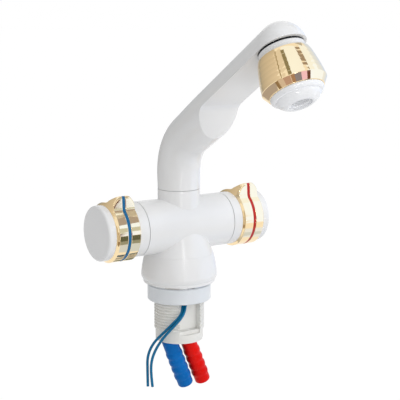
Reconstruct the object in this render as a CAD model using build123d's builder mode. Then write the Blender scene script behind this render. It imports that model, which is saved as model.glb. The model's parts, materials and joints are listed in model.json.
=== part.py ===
from build123d import *
import os
from math import cos, pi, radians, sin, tan

# Swivel mixer tap with two quarter-turn handles, a cranked spout, a twist spray head and a
# switch under each handle. Millimetres, +Z up, the spout points along -Y, cold is on -X and
# hot on +X. The origin is the centre of the underside of the seal that rests on the deck.

os.makedirs("parts", exist_ok=True)

# Clearances
FIT = 0.05              # round pieces that fit or run in each other
NEAR = 0.2              # faces that pass each other
SEAM = 0.4              # open seam between body and handles
RING_FIT = 0.02         # sealing rings on the floors of their grooves
GROOVE_SIDE = 0.15      # sealing rings beside the walls of their grooves

# Deck seal and base skirt
SEAL_PROUD = 0.8
SEAL_PASS = 0.5          # between the seal and the thread
SEAL_RIM_W = 1.7         # the seal's edge outside the skirt's rim
SEAL_LIP = 2.0
SEAL_RECESS = 0.5        # the seal bears on a rim that stands outside the nut
NUT_PASS = 0.2
SKIRT_HOLLOW_PASS = 1.0  # between the clamp ring and the skirt
SKIRT_HOLLOW_TOP = 12.0
SKIRT_RIM_W = 2.1
SKIRT_FLARE = 3.2        # the skirt's widest place outside its rim
SKIRT_WIDE_Z = 5.3
SKIRT_BULGE = 0.35

# Tap body: a cross barrel on a cone that narrows into the neck
BODY_Z = 18.8
BODY_FOOT_R = 22.4
CONE_TOP_Z = 42.5
NECK_R = 13.7
NECK_TOP_Z = 61.1
NECK_BORE_R = 11.0
BARREL_Z = 37.8
BARREL_R = 17.5
BARREL_HALF = 32.2
BARREL_BORE_R = 14.7
POCKET_X = 20.0
BODY_WALL = 2.7
FOOT_RING_H = 3.7
CAVITY_TOP_Z = 30.0
SLOT_HALF_Y = 7.0
SLOT_Z = 23.2
SLOT_TOP_Z = 27.0

# Threaded shank
THREAD_R = 16.5
THREAD_DEPTH = 1.0
THREAD_PITCH = 2.0
THREAD_TOP_Z = 0.8
THREAD_TURNS = 16
THREAD_CREST = 0.3         # shares of the pitch: crest, then where the root starts and ends
THREAD_ROOT = (0.55, 0.75)
COLLAR_STEP = 0.8        # the collar inside the thread's crests
SHANK_BOTTOM_Z = -39.2
SHANK_TOP_Z = 22.3
CLAMP_RING_WALL = 2.1
CLAMP_RING_H = 3.0
CHANNEL_X = 24.0
CHANNEL_Y = 15.0
CHANNEL_Z = -22.0
GROOVE_LEFT_X = -8.6
GROOVE_RIGHT_X = 6.9
GROOVE_FLOOR_Y = -9.8
GROOVE_TOP_Z = 8.0
FLAT_Y = -13.4
FLAT_H = 2.4
WINDOW_LEFT_X = -5.6
WINDOW_RIGHT_X = 0.6
WINDOW_Z = -3.0

# Nut and washer
NUT_WALL = 4.3           # from the thread's crests outwards
NUT_CHAMFER = 0.5
NUT_H = 10.35
NUT_CLEARANCE = 0.15
WASHER_INSET = 0.6
WASHER_H = 1.2
DECK_GAP = 0.3

# Hose tails and riser tubes
COLD_TAIL_X = -7.8
HOT_TAIL_X = 6.0
TAIL_TILT = 22.0
TAIL_TOP_Z = -24.0
TAIL_PLUG_R = 5.55
TAIL_R = 5.15
TAIL_ELBOW_DROP = 1.0
TAIL_LENGTH = 34.8
TAIL_END_ROUND = 1.5
BARB_COUNT = 4
BARB_FIRST = 8.0
BARB_PITCH = 5.6
BARB_RISE = 0.5
BARB_SHARE = 0.8
TAIL_PASSAGE_R = 2.6
TAIL_SOCKET_DEPTH = 7.0
TAIL_RING_SECTION = 0.75
TAIL_RING_SHARE = 0.6
RISER_R = 3.15
RISER_PASSAGE_R = 2.2
RISER_TOP_Z = 29.8

# Mixing core and spout socket
CORE_R = 12.3
CORE_HALF = 19.0
VALVE_SEAT_X = 11.0
PORT_R = 2.2
PORT_OFFSET = 5.0
CHAMBER_R = 5.0
CHAMBER_Z = 39.5
SOCKET_Z = 48.0
SOCKET_SPIGOT_R = 7.5
SOCKET_SPIGOT_H = 2.5
SOCKET_FLOOR = 2.0

# Valve pieces, along X from the seat outwards
HEADWORK_R = 10.85
HEADWORK_BORE_R = 9.7
VALVE_SEAL_H = 1.0
FIXED_DISC_H = 2.2
TURNING_DISC_H = 2.5
DRIVER_H = 1.5
DISC_R = 9.3
DISC_SLOT_DEPTH = 1.4
DRIVER_KEY_X = 14.0
DRIVER_KEY_Y = 3.0
DRIVER_KEY_H = 1.1
HEADWORK_PASS = 0.1      # between the headwork's flange and the barrel
HEADWORK_FLANGE_H = 2.0
HEADWORK_NECK_R = 8.0
HEADWORK_END_X = 26.2
STEM_R = 4.0
STEM_SQUARE = 5.6
SPINDLE_RING_X = 24.4
SPINDLE_RING_SECTION = 0.75

# Switches and their cams
CAM_X = 27.2
CAM_H = 4.0
CAM_LOW_R = 6.0
CAM_LIFT = 1.0
SWITCH_X = 26.4
SWITCH_W = 5.6
SWITCH_L = 12.8
SWITCH_Z = 24.8
SWITCH_H = 5.5
PLUNGER_R = 1.2
PLUNGER_PROUD = 1.2
PLUNGER_WELL = 5.0
CAM_GAP = 0.3

# Handles
SLEEVE_NECK_L = 6.8      # from the barrel's end to the grip
GRIP_W = 17.3
MARKER_OFFSET = 7.7      # from the grip's inner face to the marker
MARKER_W = 2.1
MARKER_INSET = 0.1
CAP_END_L = 5.0
CAP_ROUND = 1.6
SLEEVE_SEAT_R = 15.6
SLEEVE_BORE_R = 14.0
SLEEVE_END_INSET = 1.3
HUB_OFFSET = 5.0         # from the grip's inner face to the hub
HUB_H = 3.0
CAP_SPIGOT_H = 5.5
CAP_SPIGOT_WALL = 1.5
CAP_FACE_H = 2.4
GRIP_R = 19.1
LOBE_BACK = (-0.75, 18.2)
LOBE_CREST = (-11.3, 25.1)
LOBE_FRONT = (-11.87, 13.5)
LOBE_BACK_ROUND = 4.0
LOBE_CREST_ROUND = 3.0
LOBE_FRONT_ROUND = 1.5
LOBE_R = 26.5
LOBE_FOOT = 3.2            # height of the lobe's upright sides above the ring
RING_CHAMFER = 1.2
CROWN_CHAMFER = 4.05
SCREW_R = 1.65
SCREW_HEAD_R = 3.8
SCREW_HEAD_H = 2.4
SCREW_L = 11.0
SCREW_DRIVE = (5.0, 1.0)
SCREW_DRIVE_DEPTH = 1.4

# Spout arm
ARM_R = 14.4
ARM_NECK_R = 13.65
ARM_BEND_TUBE_R = 13.95
ARM_SWELL = 24.0           # length over which the bend's radius grows to the arm's
ARM_RISE = 31.6
ARM_BEND_R = 29.2
ARM_MEET_Z = 88.9
HEAD_REACH = 123.2
ARM_OVERRUN = 1.2          # the arm's end beyond the head's axis
ARM_CUT_START = 53.5
ARM_CUT_FILLET = 7.0
SPIGOT_R = 8.0
SPIGOT_Z = 50.3
SPIGOT_PASSAGE_R = 4.8
RING_SECTION = 0.9
SPOUT_RING_Z = (53.0, 56.2)
CIRCLIP_Z = 58.4
CIRCLIP_H = 0.8
CIRCLIP_BORE_R = 7.25
CIRCLIP_R = 9.6
CIRCLIP_OPENING = 36.0
PASSAGE_RAISE = 6.3
PASSAGE_BEND_R = 35.0
PASSAGE_END_R = 6.0

# Spray head, by height along its own axis below the arm's flat
HEAD_SEAL_R = 13.45
HEAD_SEAL_H = 1.2
COLLAR_SPIGOT_R = 9.0
COLLAR_SPIGOT_H = 4.9
HEAD_COLLAR_R = 13.6
HEAD_COLLAR_END = 9.0
JOURNAL_R = 10.0
JOURNAL_LIP_R = 10.6
JOURNAL_LIP_H = 1.2
CAP_TOP = 5.0
CAP_TOP_R = 15.2
CAP_SHOULDER_R = 15.8
CAP_WIDE_R = 18.8
CAP_WIDE = 23.8
CAP_EDGE = (0.7, 1.3)      # inward and downward to where the bevel starts
CAP_END = 27.9
CAP_END_R = 16.0
CAP_RIB_COUNT = 5
CAP_RIB_START = 6.8
CAP_RIB_END = 21.6
CAP_RIB_RISE = 0.06
CAP_SWELL = 0.45           # how much more the cap's side curves than a cone
CAP_WEB = 2.0
NOZZLE_R = 13.8
NOZZLE_BORE_R = 12.2
NOZZLE_FLOOR = 28.0
NOZZLE_RIM_R = 15.5        # the rim seats on the cap's end
NOZZLE_RIM = (15.1, 29.6)  # a point half way round the rim, as radius and height
NOZZLE_RIM_END = (14.1, 30.7)
NOZZLE_DOME_R = 13.3
NOZZLE_DOME = (11.3, 33.3)
NOZZLE_FACE_R = 8.2
NOZZLE_END = 35.1
NOZZLE_OUTLET_R = 6.8
NOZZLE_THROAT_R = 5.6
NOZZLE_OUTLET_DEPTH = 1.8
INSERT_H = 6.0
SCREEN_H = 0.8
MESH_HOLE_R = 0.55
MESH_APOTHEM = 0.95
MESH_COUNT = 11
JET_MIDDLE_R = 0.8
JET_R = 0.6
JET_RINGS = ((2.6, 6), (4.8, 12))

# Switch wiring
WIRE_R = 0.9
LINK_R = 0.7
LINK_Z = 25.4
LINK_Y = (4.2, 5.9)
LEAD_END_Z = 26.0
LEAD_STRAIGHT = 8.0
LEAD_BEND_R = 8.0
LEAD_PASS_Z = 15.0
LEAD_PASS_X = {"cold": 4.6, "hot": 5.0}
LEAD_TURN = (9.8, -4.4)
LEAD_RUN = (19.4, -1.8)
LEAD_RISE_X = 23.2

# Worked out
CORNER = 1 - cos(radians(45))      # a round corner's middle, in radii from its two sides
TAILS = {"cold": COLD_TAIL_X, "hot": HOT_TAIL_X}
SEAL_BORE_R = THREAD_R + SEAL_PASS
CLAMP_RING_R = THREAD_R + CLAMP_RING_WALL
SKIRT_HOLLOW_R = CLAMP_RING_R + SKIRT_HOLLOW_PASS
SKIRT_RIM_R = SKIRT_HOLLOW_R + SKIRT_RIM_W
SEAL_RIM_R = SKIRT_RIM_R + SEAL_RIM_W
SKIRT_R = SKIRT_RIM_R + SKIRT_FLARE
COLLAR_R = THREAD_R - COLLAR_STEP
NUT_R = THREAD_R + NUT_WALL
WASHER_R = NUT_R - WASHER_INSET
SOCKET_TOP_Z = NECK_TOP_Z - NEAR
HEADWORK_FLANGE_R = BARREL_BORE_R - HEADWORK_PASS
SLEEVE_X = BARREL_HALF + SLEEVE_NECK_L
MARKER_X = SLEEVE_X + MARKER_OFFSET
GRIP_X = SLEEVE_X + GRIP_W
CAP_END_X = GRIP_X + CAP_END_L
SLEEVE_END_X = GRIP_X - SLEEVE_END_INSET
HUB_X = SLEEVE_X + HUB_OFFSET
STEM_SQUARE_X = HUB_X
ARM_REACH = HEAD_REACH + ARM_OVERRUN
NUT_TOP_Z = -DECK_GAP - WASHER_H - FIT
THREAD_END_Z = THREAD_TOP_Z - THREAD_TURNS * THREAD_PITCH
SKIRT_Z = SEAL_PROUD
DISC_X = VALVE_SEAT_X + VALVE_SEAL_H
TURNING_X = DISC_X + FIXED_DISC_H
DRIVER_X = TURNING_X + TURNING_DISC_H + FIT
SWITCH_TOP_Z = SWITCH_Z + SWITCH_H
CAM_BOTTOM_Z = BARREL_Z - CAM_LOW_R
BEND_TANGENT = ARM_BEND_R * tan(radians(90 - ARM_RISE) / 2)
BEND_Z = ARM_MEET_Z - BEND_TANGENT
ARM_ALONG = Vector(0, -cos(radians(ARM_RISE)), sin(radians(ARM_RISE)))
ARM_DOWN = Vector(0, -sin(radians(ARM_RISE)), -cos(radians(ARM_RISE)))
ARM_MEET = Vector(0, 0, ARM_MEET_Z)
ARM_END = ARM_MEET + ARM_ALONG * ARM_REACH
HEAD_CENTRE = ARM_MEET + ARM_ALONG * HEAD_REACH

UPRIGHT = Plane.XY
BARREL = Plane((0, 0, BARREL_Z), x_dir=(0, 1, 0), z_dir=(1, 0, 0))
ARM_SIDE = Plane(ARM_MEET, x_dir=ARM_ALONG, z_dir=(1, 0, 0))
HEAD = Plane(HEAD_CENTRE, x_dir=(1, 0, 0), z_dir=ARM_DOWN)


def tube(plane, start, end, radius, bore=0, mode=Mode.ADD):
    """A round bar or tube along a plane's normal, between two distances from the plane."""
    with BuildSketch(plane.offset(start)) as section:
        Circle(radius)
        if bore:
            Circle(bore, mode=Mode.SUBTRACT)
    extrude(section.sketch, amount=end - start, mode=mode)


def turned(plane, outline, mode=Mode.ADD):
    """An outline of (radius, distance) points turned about a plane's normal."""
    section = Plane(plane.origin, x_dir=plane.x_dir, z_dir=-plane.y_dir)
    with BuildSketch(section) as half:
        with BuildLine():
            Polyline(*outline, close=True)
        make_face()
    revolve(half.sketch, axis=Axis(plane.origin, plane.z_dir), mode=mode)


def block(x, y, z, mode=Mode.ADD):
    """A block between two places along each axis."""
    with BuildSketch(Plane.XY.offset(z[0])) as foot:
        with Locations(((x[0] + x[1]) / 2, (y[0] + y[1]) / 2)):
            Rectangle(x[1] - x[0], y[1] - y[0])
    extrude(foot.sketch, amount=z[1] - z[0], mode=mode)


def ring(plane, distance, inner_radius, section_radius):
    """A round-section ring about a plane's normal."""
    section = Plane(plane.origin, x_dir=plane.x_dir, z_dir=-plane.y_dir)
    with BuildSketch(section) as circle:
        with Locations((inner_radius + section_radius, distance)):
            Circle(section_radius)
    revolve(circle.sketch, axis=Axis(plane.origin, plane.z_dir))


def cord(points, radii, radius, mode=Mode.ADD):
    """A round cord along straight runs joined by tangent arcs."""
    with BuildLine() as route:
        FilletPolyline(*points, radius=radii)
    with BuildSketch(Plane(route.line @ 0, z_dir=route.line % 0)) as section:
        Circle(radius)
    sweep(section.sketch, path=route.line, mode=mode)


def keep(part, label):
    """Label a finished piece and write it to its own file."""
    part.label = label
    export_step(part, f"parts/{label}.step")


def keep_pair(part, label):
    """Write the hot side's piece and its mirror image for the cold side."""
    with BuildPart() as other:
        mirror(part, about=Plane.YZ)
    keep(part, f"hot_{label}")
    keep(other.part, f"cold_{label}")


# Deck seal: a flat ring with a bearing rim below and a lip inside the skirt
with BuildPart() as deck_seal:
    tube(UPRIGHT, 0, SEAL_PROUD, SEAL_RIM_R, SEAL_BORE_R)
    tube(UPRIGHT, 0, SEAL_RECESS, NUT_R + NUT_PASS, mode=Mode.SUBTRACT)
    tube(UPRIGHT, SEAL_PROUD, SEAL_PROUD + SEAL_LIP, SKIRT_HOLLOW_R - FIT, SEAL_BORE_R)
keep(deck_seal.part, "deck_seal")

# Base skirt: a hollow bell that the clamp ring pulls against the body
with BuildPart() as base_skirt:
    with BuildSketch(Plane.XZ) as bell:
        with BuildLine():
            middle_z = (BODY_Z + SKIRT_WIDE_Z) / 2
            middle_r = (BODY_FOOT_R + SKIRT_R) / 2 + SKIRT_BULGE
            Line((0, BODY_Z), (BODY_FOOT_R, BODY_Z))
            side = ThreePointArc((BODY_FOOT_R, BODY_Z), (middle_r, middle_z), (SKIRT_R, SKIRT_WIDE_Z))
            TangentArc(side @ 1, (SKIRT_RIM_R, SKIRT_Z), tangent=side % 1)
            Polyline((SKIRT_RIM_R, SKIRT_Z), (0, SKIRT_Z), (0, BODY_Z))
        make_face()
    revolve(axis=Axis.Z)
    tube(UPRIGHT, SKIRT_Z, SKIRT_HOLLOW_TOP, SKIRT_HOLLOW_R, mode=Mode.SUBTRACT)
    tube(UPRIGHT, SKIRT_HOLLOW_TOP, BODY_Z, THREAD_R + FIT, mode=Mode.SUBTRACT)
keep(base_skirt.part, "base_skirt")

# Tap body: barrel, cone and neck in one shell, open at both ends, above and below
cone_slope = (BODY_FOOT_R - NECK_R) / (CONE_TOP_Z - BODY_Z)
cavity_z = BODY_Z + FOOT_RING_H
cavity_foot_r = BODY_FOOT_R - cone_slope * FOOT_RING_H - BODY_WALL
cavity_top_r = BODY_FOOT_R - cone_slope * (CAVITY_TOP_Z - BODY_Z) - BODY_WALL
with BuildPart() as tap_body:
    turned(UPRIGHT, [
        (0, BODY_Z), (BODY_FOOT_R, BODY_Z), (NECK_R, CONE_TOP_Z),
        (NECK_R, NECK_TOP_Z), (0, NECK_TOP_Z),
    ])
    tube(BARREL, -BARREL_HALF, BARREL_HALF, BARREL_R)
    tube(BARREL, -BARREL_HALF, BARREL_HALF, CORE_R + FIT, mode=Mode.SUBTRACT)
    for end in (-BARREL_HALF, POCKET_X):
        tube(BARREL, end, end + BARREL_HALF - POCKET_X, BARREL_BORE_R, mode=Mode.SUBTRACT)
    tube(UPRIGHT, BARREL_Z + CORE_R / 2, NECK_TOP_Z, NECK_BORE_R, mode=Mode.SUBTRACT)
    tube(UPRIGHT, BODY_Z, cavity_z, THREAD_R + FIT, mode=Mode.SUBTRACT)
    turned(UPRIGHT, [
        (0, cavity_z), (cavity_foot_r, cavity_z), (cavity_top_r, CAVITY_TOP_Z), (0, CAVITY_TOP_Z),
    ], mode=Mode.SUBTRACT)
    block(
        (-POCKET_X - NEAR, POCKET_X + NEAR), (-SLOT_HALF_Y, SLOT_HALF_Y), (SLOT_Z, SLOT_TOP_Z),
        mode=Mode.SUBTRACT,
    )
keep(tap_body.part, "tap_body")

# Threaded shank: ridged below the deck, with a wire groove in front and a channel inside
with BuildPart() as threaded_shank:
    ridges = []
    for turn in range(THREAD_TURNS):
        top = THREAD_TOP_Z - turn * THREAD_PITCH
        ridges += [
            (THREAD_R, top), (THREAD_R, top - THREAD_CREST * THREAD_PITCH),
            *((THREAD_R - THREAD_DEPTH, top - share * THREAD_PITCH) for share in THREAD_ROOT),
        ]
    turned(UPRIGHT, [
        (0, SHANK_TOP_Z), (THREAD_R, SHANK_TOP_Z), *ridges,
        (COLLAR_R, THREAD_END_Z), (COLLAR_R, SHANK_BOTTOM_Z), (0, SHANK_BOTTOM_Z),
    ])
    block(
        (-CHANNEL_X / 2, CHANNEL_X / 2), (-CHANNEL_Y / 2, CHANNEL_Y / 2),
        (CHANNEL_Z, SHANK_TOP_Z), mode=Mode.SUBTRACT,
    )
    block(
        (GROOVE_LEFT_X, GROOVE_RIGHT_X), (-CLAMP_RING_R, GROOVE_FLOOR_Y),
        (THREAD_END_Z, GROOVE_TOP_Z), mode=Mode.SUBTRACT,
    )
    block(
        (GROOVE_LEFT_X, GROOVE_RIGHT_X), (-CLAMP_RING_R, FLAT_Y),
        (THREAD_END_Z - FLAT_H, THREAD_END_Z), mode=Mode.SUBTRACT,
    )
    block(
        (WINDOW_LEFT_X, WINDOW_RIGHT_X), (GROOVE_FLOOR_Y, -CHANNEL_Y / 2),
        (WINDOW_Z, GROOVE_TOP_Z), mode=Mode.SUBTRACT,
    )
    for x in TAILS.values():
        bore = Plane((x, 0, 0))
        tube(bore, SHANK_BOTTOM_Z, CHANNEL_Z, TAIL_PLUG_R + FIT, mode=Mode.SUBTRACT)
        mouth_r = TAIL_PLUG_R + FIT + 2 * TAIL_ELBOW_DROP
        turned(bore, [
            (0, SHANK_BOTTOM_Z), (mouth_r, SHANK_BOTTOM_Z),
            (TAIL_PLUG_R + FIT, SHANK_BOTTOM_Z + 2 * TAIL_ELBOW_DROP),
            (0, SHANK_BOTTOM_Z + 2 * TAIL_ELBOW_DROP),
        ], mode=Mode.SUBTRACT)
keep(threaded_shank.part, "threaded_shank")

# Clamp ring on the shank, which pulls the skirt up against the body
with BuildPart() as clamp_ring:
    tube(UPRIGHT, SKIRT_HOLLOW_TOP - CLAMP_RING_H, SKIRT_HOLLOW_TOP, CLAMP_RING_R, THREAD_R + FIT)
keep(clamp_ring.part, "clamp_ring")

# Hose tails: an upright plug in the shank, then a barbed tail that leans towards +X
elbow_z = SHANK_BOTTOM_Z - TAIL_ELBOW_DROP
lean = Vector(sin(radians(TAIL_TILT)), 0, -cos(radians(TAIL_TILT)))
tail_ring_z = TAIL_TOP_Z - TAIL_RING_SHARE * TAIL_SOCKET_DEPTH
tail_ring_floor = TAIL_PLUG_R - 2 * TAIL_RING_SECTION
tail_ring_half = TAIL_RING_SECTION + GROOVE_SIDE
for name, x in TAILS.items():
    stem = Plane((x, 0, 0))
    leaning = Plane((x, 0, elbow_z), x_dir=(0, 1, 0), z_dir=lean)
    with BuildPart() as hose_tail:
        tube(stem, elbow_z, TAIL_TOP_Z, TAIL_PLUG_R)
        tube(stem, elbow_z - TAIL_R, SHANK_BOTTOM_Z + TAIL_ELBOW_DROP, TAIL_PLUG_R + 1,
             bore=TAIL_R, mode=Mode.SUBTRACT)
        with Locations(leaning):
            Sphere(TAIL_R)
        with BuildSketch(Plane(leaning.origin, x_dir=leaning.x_dir, z_dir=-leaning.y_dir)) as barbed:
            with BuildLine():
                barb_start = BARB_FIRST
                Line((0, 0), (TAIL_R, 0))
                Line((TAIL_R, 0), (TAIL_R, BARB_FIRST))
                for _ in range(BARB_COUNT):
                    barb_end = barb_start + BARB_SHARE * BARB_PITCH
                    ThreePointArc(
                        (TAIL_R, barb_start),
                        (TAIL_R + BARB_RISE, (barb_start + barb_end) / 2),
                        (TAIL_R, barb_end),
                    )
                    barb_start += BARB_PITCH
                    if barb_start < BARB_FIRST + BARB_COUNT * BARB_PITCH:
                        Line((TAIL_R, barb_end), (TAIL_R, barb_start))
                end_arc = TAIL_LENGTH - TAIL_END_ROUND
                Line((TAIL_R, barb_end), (TAIL_R, end_arc))
                ThreePointArc(
                    (TAIL_R, end_arc),
                    (TAIL_R - CORNER * TAIL_END_ROUND, TAIL_LENGTH - CORNER * TAIL_END_ROUND),
                    (TAIL_R - TAIL_END_ROUND, TAIL_LENGTH),
                )
                Polyline((TAIL_R - TAIL_END_ROUND, TAIL_LENGTH), (0, TAIL_LENGTH), (0, 0))
            make_face()
        revolve(barbed.sketch, axis=Axis(leaning.origin, lean))
        tube(stem, TAIL_TOP_Z - TAIL_SOCKET_DEPTH, TAIL_TOP_Z, RISER_R + FIT, mode=Mode.SUBTRACT)
        tube(stem, elbow_z, TAIL_TOP_Z, TAIL_PASSAGE_R, mode=Mode.SUBTRACT)
        with Locations(leaning):
            Sphere(TAIL_PASSAGE_R, mode=Mode.SUBTRACT)
        tube(leaning, 0, TAIL_LENGTH, TAIL_PASSAGE_R, mode=Mode.SUBTRACT)
        tube(stem, tail_ring_z - tail_ring_half, tail_ring_z + tail_ring_half, TAIL_PLUG_R + 1,
             bore=tail_ring_floor, mode=Mode.SUBTRACT)
    keep(hose_tail.part, f"{name}_hose_tail")

    with BuildPart() as riser:
        tube(stem, TAIL_TOP_Z - TAIL_SOCKET_DEPTH, RISER_TOP_Z, RISER_R, RISER_PASSAGE_R)
    keep(riser.part, f"{name}_riser_tube")

with BuildPart() as tail_orings:
    for x in TAILS.values():
        ring(Plane((x, 0, 0)), tail_ring_z, tail_ring_floor + RING_FIT, TAIL_RING_SECTION)
keep(tail_orings.part, "tail_orings")

# Washer and fixing nut that clamp the deck from below
with BuildPart() as slip_washer:
    tube(UPRIGHT, -DECK_GAP - WASHER_H, -DECK_GAP, WASHER_R, THREAD_R + DECK_GAP)
keep(slip_washer.part, "slip_washer")

with BuildPart() as fixing_nut:
    tube(UPRIGHT, NUT_TOP_Z - NUT_H, NUT_TOP_Z, NUT_R, THREAD_R + NUT_CLEARANCE)
    chamfer(fixing_nut.edges().filter_by(GeomType.CIRCLE), length=NUT_CHAMFER)
keep(fixing_nut.part, "fixing_nut")

# Mixing core: takes both supplies through the valves to the outlet chamber
with BuildPart() as mixing_core:
    tube(BARREL, -CORE_HALF, CORE_HALF, CORE_R)
    for start, end in ((-CORE_HALF, -VALVE_SEAT_X), (VALVE_SEAT_X, CORE_HALF)):
        tube(BARREL, start, end, HEADWORK_R + FIT, mode=Mode.SUBTRACT)
    tube(UPRIGHT, SOCKET_Z, BARREL_Z + CORE_R, NECK_BORE_R, mode=Mode.SUBTRACT)
    tube(UPRIGHT, SOCKET_Z - SOCKET_SPIGOT_H, SOCKET_Z, SOCKET_SPIGOT_R + FIT, mode=Mode.SUBTRACT)
    tube(UPRIGHT, CHAMBER_Z, SOCKET_Z - SOCKET_SPIGOT_H, CHAMBER_R, mode=Mode.SUBTRACT)
    outlet = BARREL.shift_origin((0, 0, BARREL_Z + PORT_OFFSET))
    inlet = BARREL.shift_origin((0, 0, BARREL_Z - PORT_OFFSET))
    tube(outlet, -VALVE_SEAT_X, VALVE_SEAT_X, PORT_R, mode=Mode.SUBTRACT)
    tube(inlet, -VALVE_SEAT_X, COLD_TAIL_X, PORT_R, mode=Mode.SUBTRACT)
    tube(inlet, HOT_TAIL_X, VALVE_SEAT_X, PORT_R, mode=Mode.SUBTRACT)
    for x in TAILS.values():
        supply = Plane((x, 0, 0))
        tube(supply, BARREL_Z - CORE_R, RISER_TOP_Z, RISER_R + FIT, mode=Mode.SUBTRACT)
        tube(supply, RISER_TOP_Z, BARREL_Z - PORT_OFFSET, PORT_R, mode=Mode.SUBTRACT)
keep(mixing_core.part, "mixing_core")

# Spout socket: a lined bore in the neck, with a groove for the retaining clip
with BuildPart() as spout_socket:
    tube(UPRIGHT, SOCKET_Z, SOCKET_TOP_Z, NECK_BORE_R - FIT)
    tube(UPRIGHT, SOCKET_Z - SOCKET_SPIGOT_H, SOCKET_Z, SOCKET_SPIGOT_R)
    tube(UPRIGHT, SOCKET_Z - SOCKET_SPIGOT_H, SOCKET_TOP_Z, CHAMBER_R, mode=Mode.SUBTRACT)
    tube(UPRIGHT, SOCKET_Z + SOCKET_FLOOR, SOCKET_TOP_Z, SPIGOT_R + FIT, mode=Mode.SUBTRACT)
    tube(UPRIGHT, CIRCLIP_Z - NEAR, CIRCLIP_Z + CIRCLIP_H + NEAR, CIRCLIP_R + NEAR, mode=Mode.SUBTRACT)
keep(spout_socket.part, "spout_socket")

# Valve seal, fixed disc and turning disc on each side
with BuildPart() as valve_seal:
    tube(BARREL, VALVE_SEAT_X, DISC_X, HEADWORK_BORE_R - FIT)
    for shift in (-PORT_OFFSET, PORT_OFFSET):
        port = BARREL.shift_origin((0, 0, BARREL_Z + shift))
        tube(port, VALVE_SEAT_X, DISC_X, PORT_R, mode=Mode.SUBTRACT)
keep_pair(valve_seal.part, "valve_seal")

with BuildPart() as fixed_disc:
    tube(BARREL, DISC_X, TURNING_X, HEADWORK_BORE_R - FIT)
    for shift in (-PORT_OFFSET, PORT_OFFSET):
        port = BARREL.shift_origin((0, 0, BARREL_Z + shift))
        tube(port, DISC_X, TURNING_X, PORT_R, mode=Mode.SUBTRACT)
keep_pair(fixed_disc.part, "fixed_disc")

with BuildPart() as turning_disc:
    tube(BARREL, TURNING_X, TURNING_X + TURNING_DISC_H, DISC_R)
    with BuildSketch(BARREL.offset(TURNING_X)) as channel:
        SlotCenterToCenter(2 * PORT_OFFSET, 2 * PORT_R)
    extrude(channel.sketch, amount=DISC_SLOT_DEPTH, mode=Mode.SUBTRACT)
    with BuildSketch(BARREL.offset(TURNING_X + TURNING_DISC_H)) as keyway:
        Rectangle(DRIVER_KEY_X + 2 * FIT, DRIVER_KEY_Y + 2 * FIT, rotation=90)
    extrude(keyway.sketch, amount=-DRIVER_KEY_H, mode=Mode.SUBTRACT)
keep_pair(turning_disc.part, "turning_disc")

# Headwork: the screwed cartridge shell that holds the discs and guides the spindle
cup_floor_x = DRIVER_X + DRIVER_H + FIT
with BuildPart() as headwork:
    tube(BARREL, VALVE_SEAT_X, POCKET_X, HEADWORK_R)
    tube(BARREL, POCKET_X, POCKET_X + HEADWORK_FLANGE_H, HEADWORK_FLANGE_R)
    tube(BARREL, POCKET_X + HEADWORK_FLANGE_H, HEADWORK_END_X, HEADWORK_NECK_R)
    tube(BARREL, VALVE_SEAT_X, cup_floor_x, HEADWORK_BORE_R, mode=Mode.SUBTRACT)
    tube(BARREL, VALVE_SEAT_X, HEADWORK_END_X, STEM_R + FIT, mode=Mode.SUBTRACT)
    block(
        (POCKET_X, POCKET_X + HEADWORK_FLANGE_H), (-SLOT_HALF_Y, SLOT_HALF_Y),
        (BARREL_Z - BARREL_BORE_R, SLOT_TOP_Z), mode=Mode.SUBTRACT,
    )
keep_pair(headwork.part, "headwork")

# Spindle: driver flange, ringed stem and a square end in the handle
with BuildPart() as spindle:
    tube(BARREL, DRIVER_X, DRIVER_X + DRIVER_H, DISC_R)
    tube(BARREL, DRIVER_X, STEM_SQUARE_X, STEM_R)
    with BuildSketch(BARREL.offset(STEM_SQUARE_X)) as square_end:
        Rectangle(STEM_SQUARE, STEM_SQUARE)
    extrude(square_end.sketch, amount=HUB_H)
    with BuildSketch(BARREL.offset(DRIVER_X)) as key:
        Rectangle(DRIVER_KEY_X, DRIVER_KEY_Y, rotation=90)
    extrude(key.sketch, amount=FIT - DRIVER_KEY_H)
    spindle_ring_half = SPINDLE_RING_SECTION + GROOVE_SIDE
    spindle_ring_floor = STEM_R - 2 * SPINDLE_RING_SECTION
    tube(BARREL, SPINDLE_RING_X - spindle_ring_half, SPINDLE_RING_X + spindle_ring_half,
         STEM_R + 1, bore=spindle_ring_floor, mode=Mode.SUBTRACT)
    screw_end_x = HUB_X + HUB_H - SCREW_L
    tube(BARREL, screw_end_x, HUB_X + HUB_H, SCREW_R + FIT, mode=Mode.SUBTRACT)
keep_pair(spindle.part, "spindle")

with BuildPart() as spindle_oring:
    ring(BARREL, SPINDLE_RING_X, spindle_ring_floor + RING_FIT, SPINDLE_RING_SECTION)
keep_pair(spindle_oring.part, "spindle_oring")

# Switch cam: its radius grows over the quarter turn that follows the lowest point
with BuildPart() as switch_cam:
    with BuildSketch(BARREL.offset(CAM_X)) as cam:
        with BuildLine():
            high = CAM_LOW_R + CAM_LIFT
            middle = (CAM_LOW_R + CAM_LIFT / 2) * cos(radians(45))
            ThreePointArc((0, -CAM_LOW_R), (-middle, -middle), (-high, 0))
            ThreePointArc((-high, 0), (-middle, middle), (0, CAM_LOW_R))
            ThreePointArc((0, CAM_LOW_R), (CAM_LOW_R, 0), (0, -CAM_LOW_R))
        make_face()
    extrude(cam.sketch, amount=CAM_H)
    tube(BARREL, CAM_X, CAM_X + CAM_H, STEM_R + FIT, mode=Mode.SUBTRACT)
keep_pair(switch_cam.part, "switch_cam")

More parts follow.
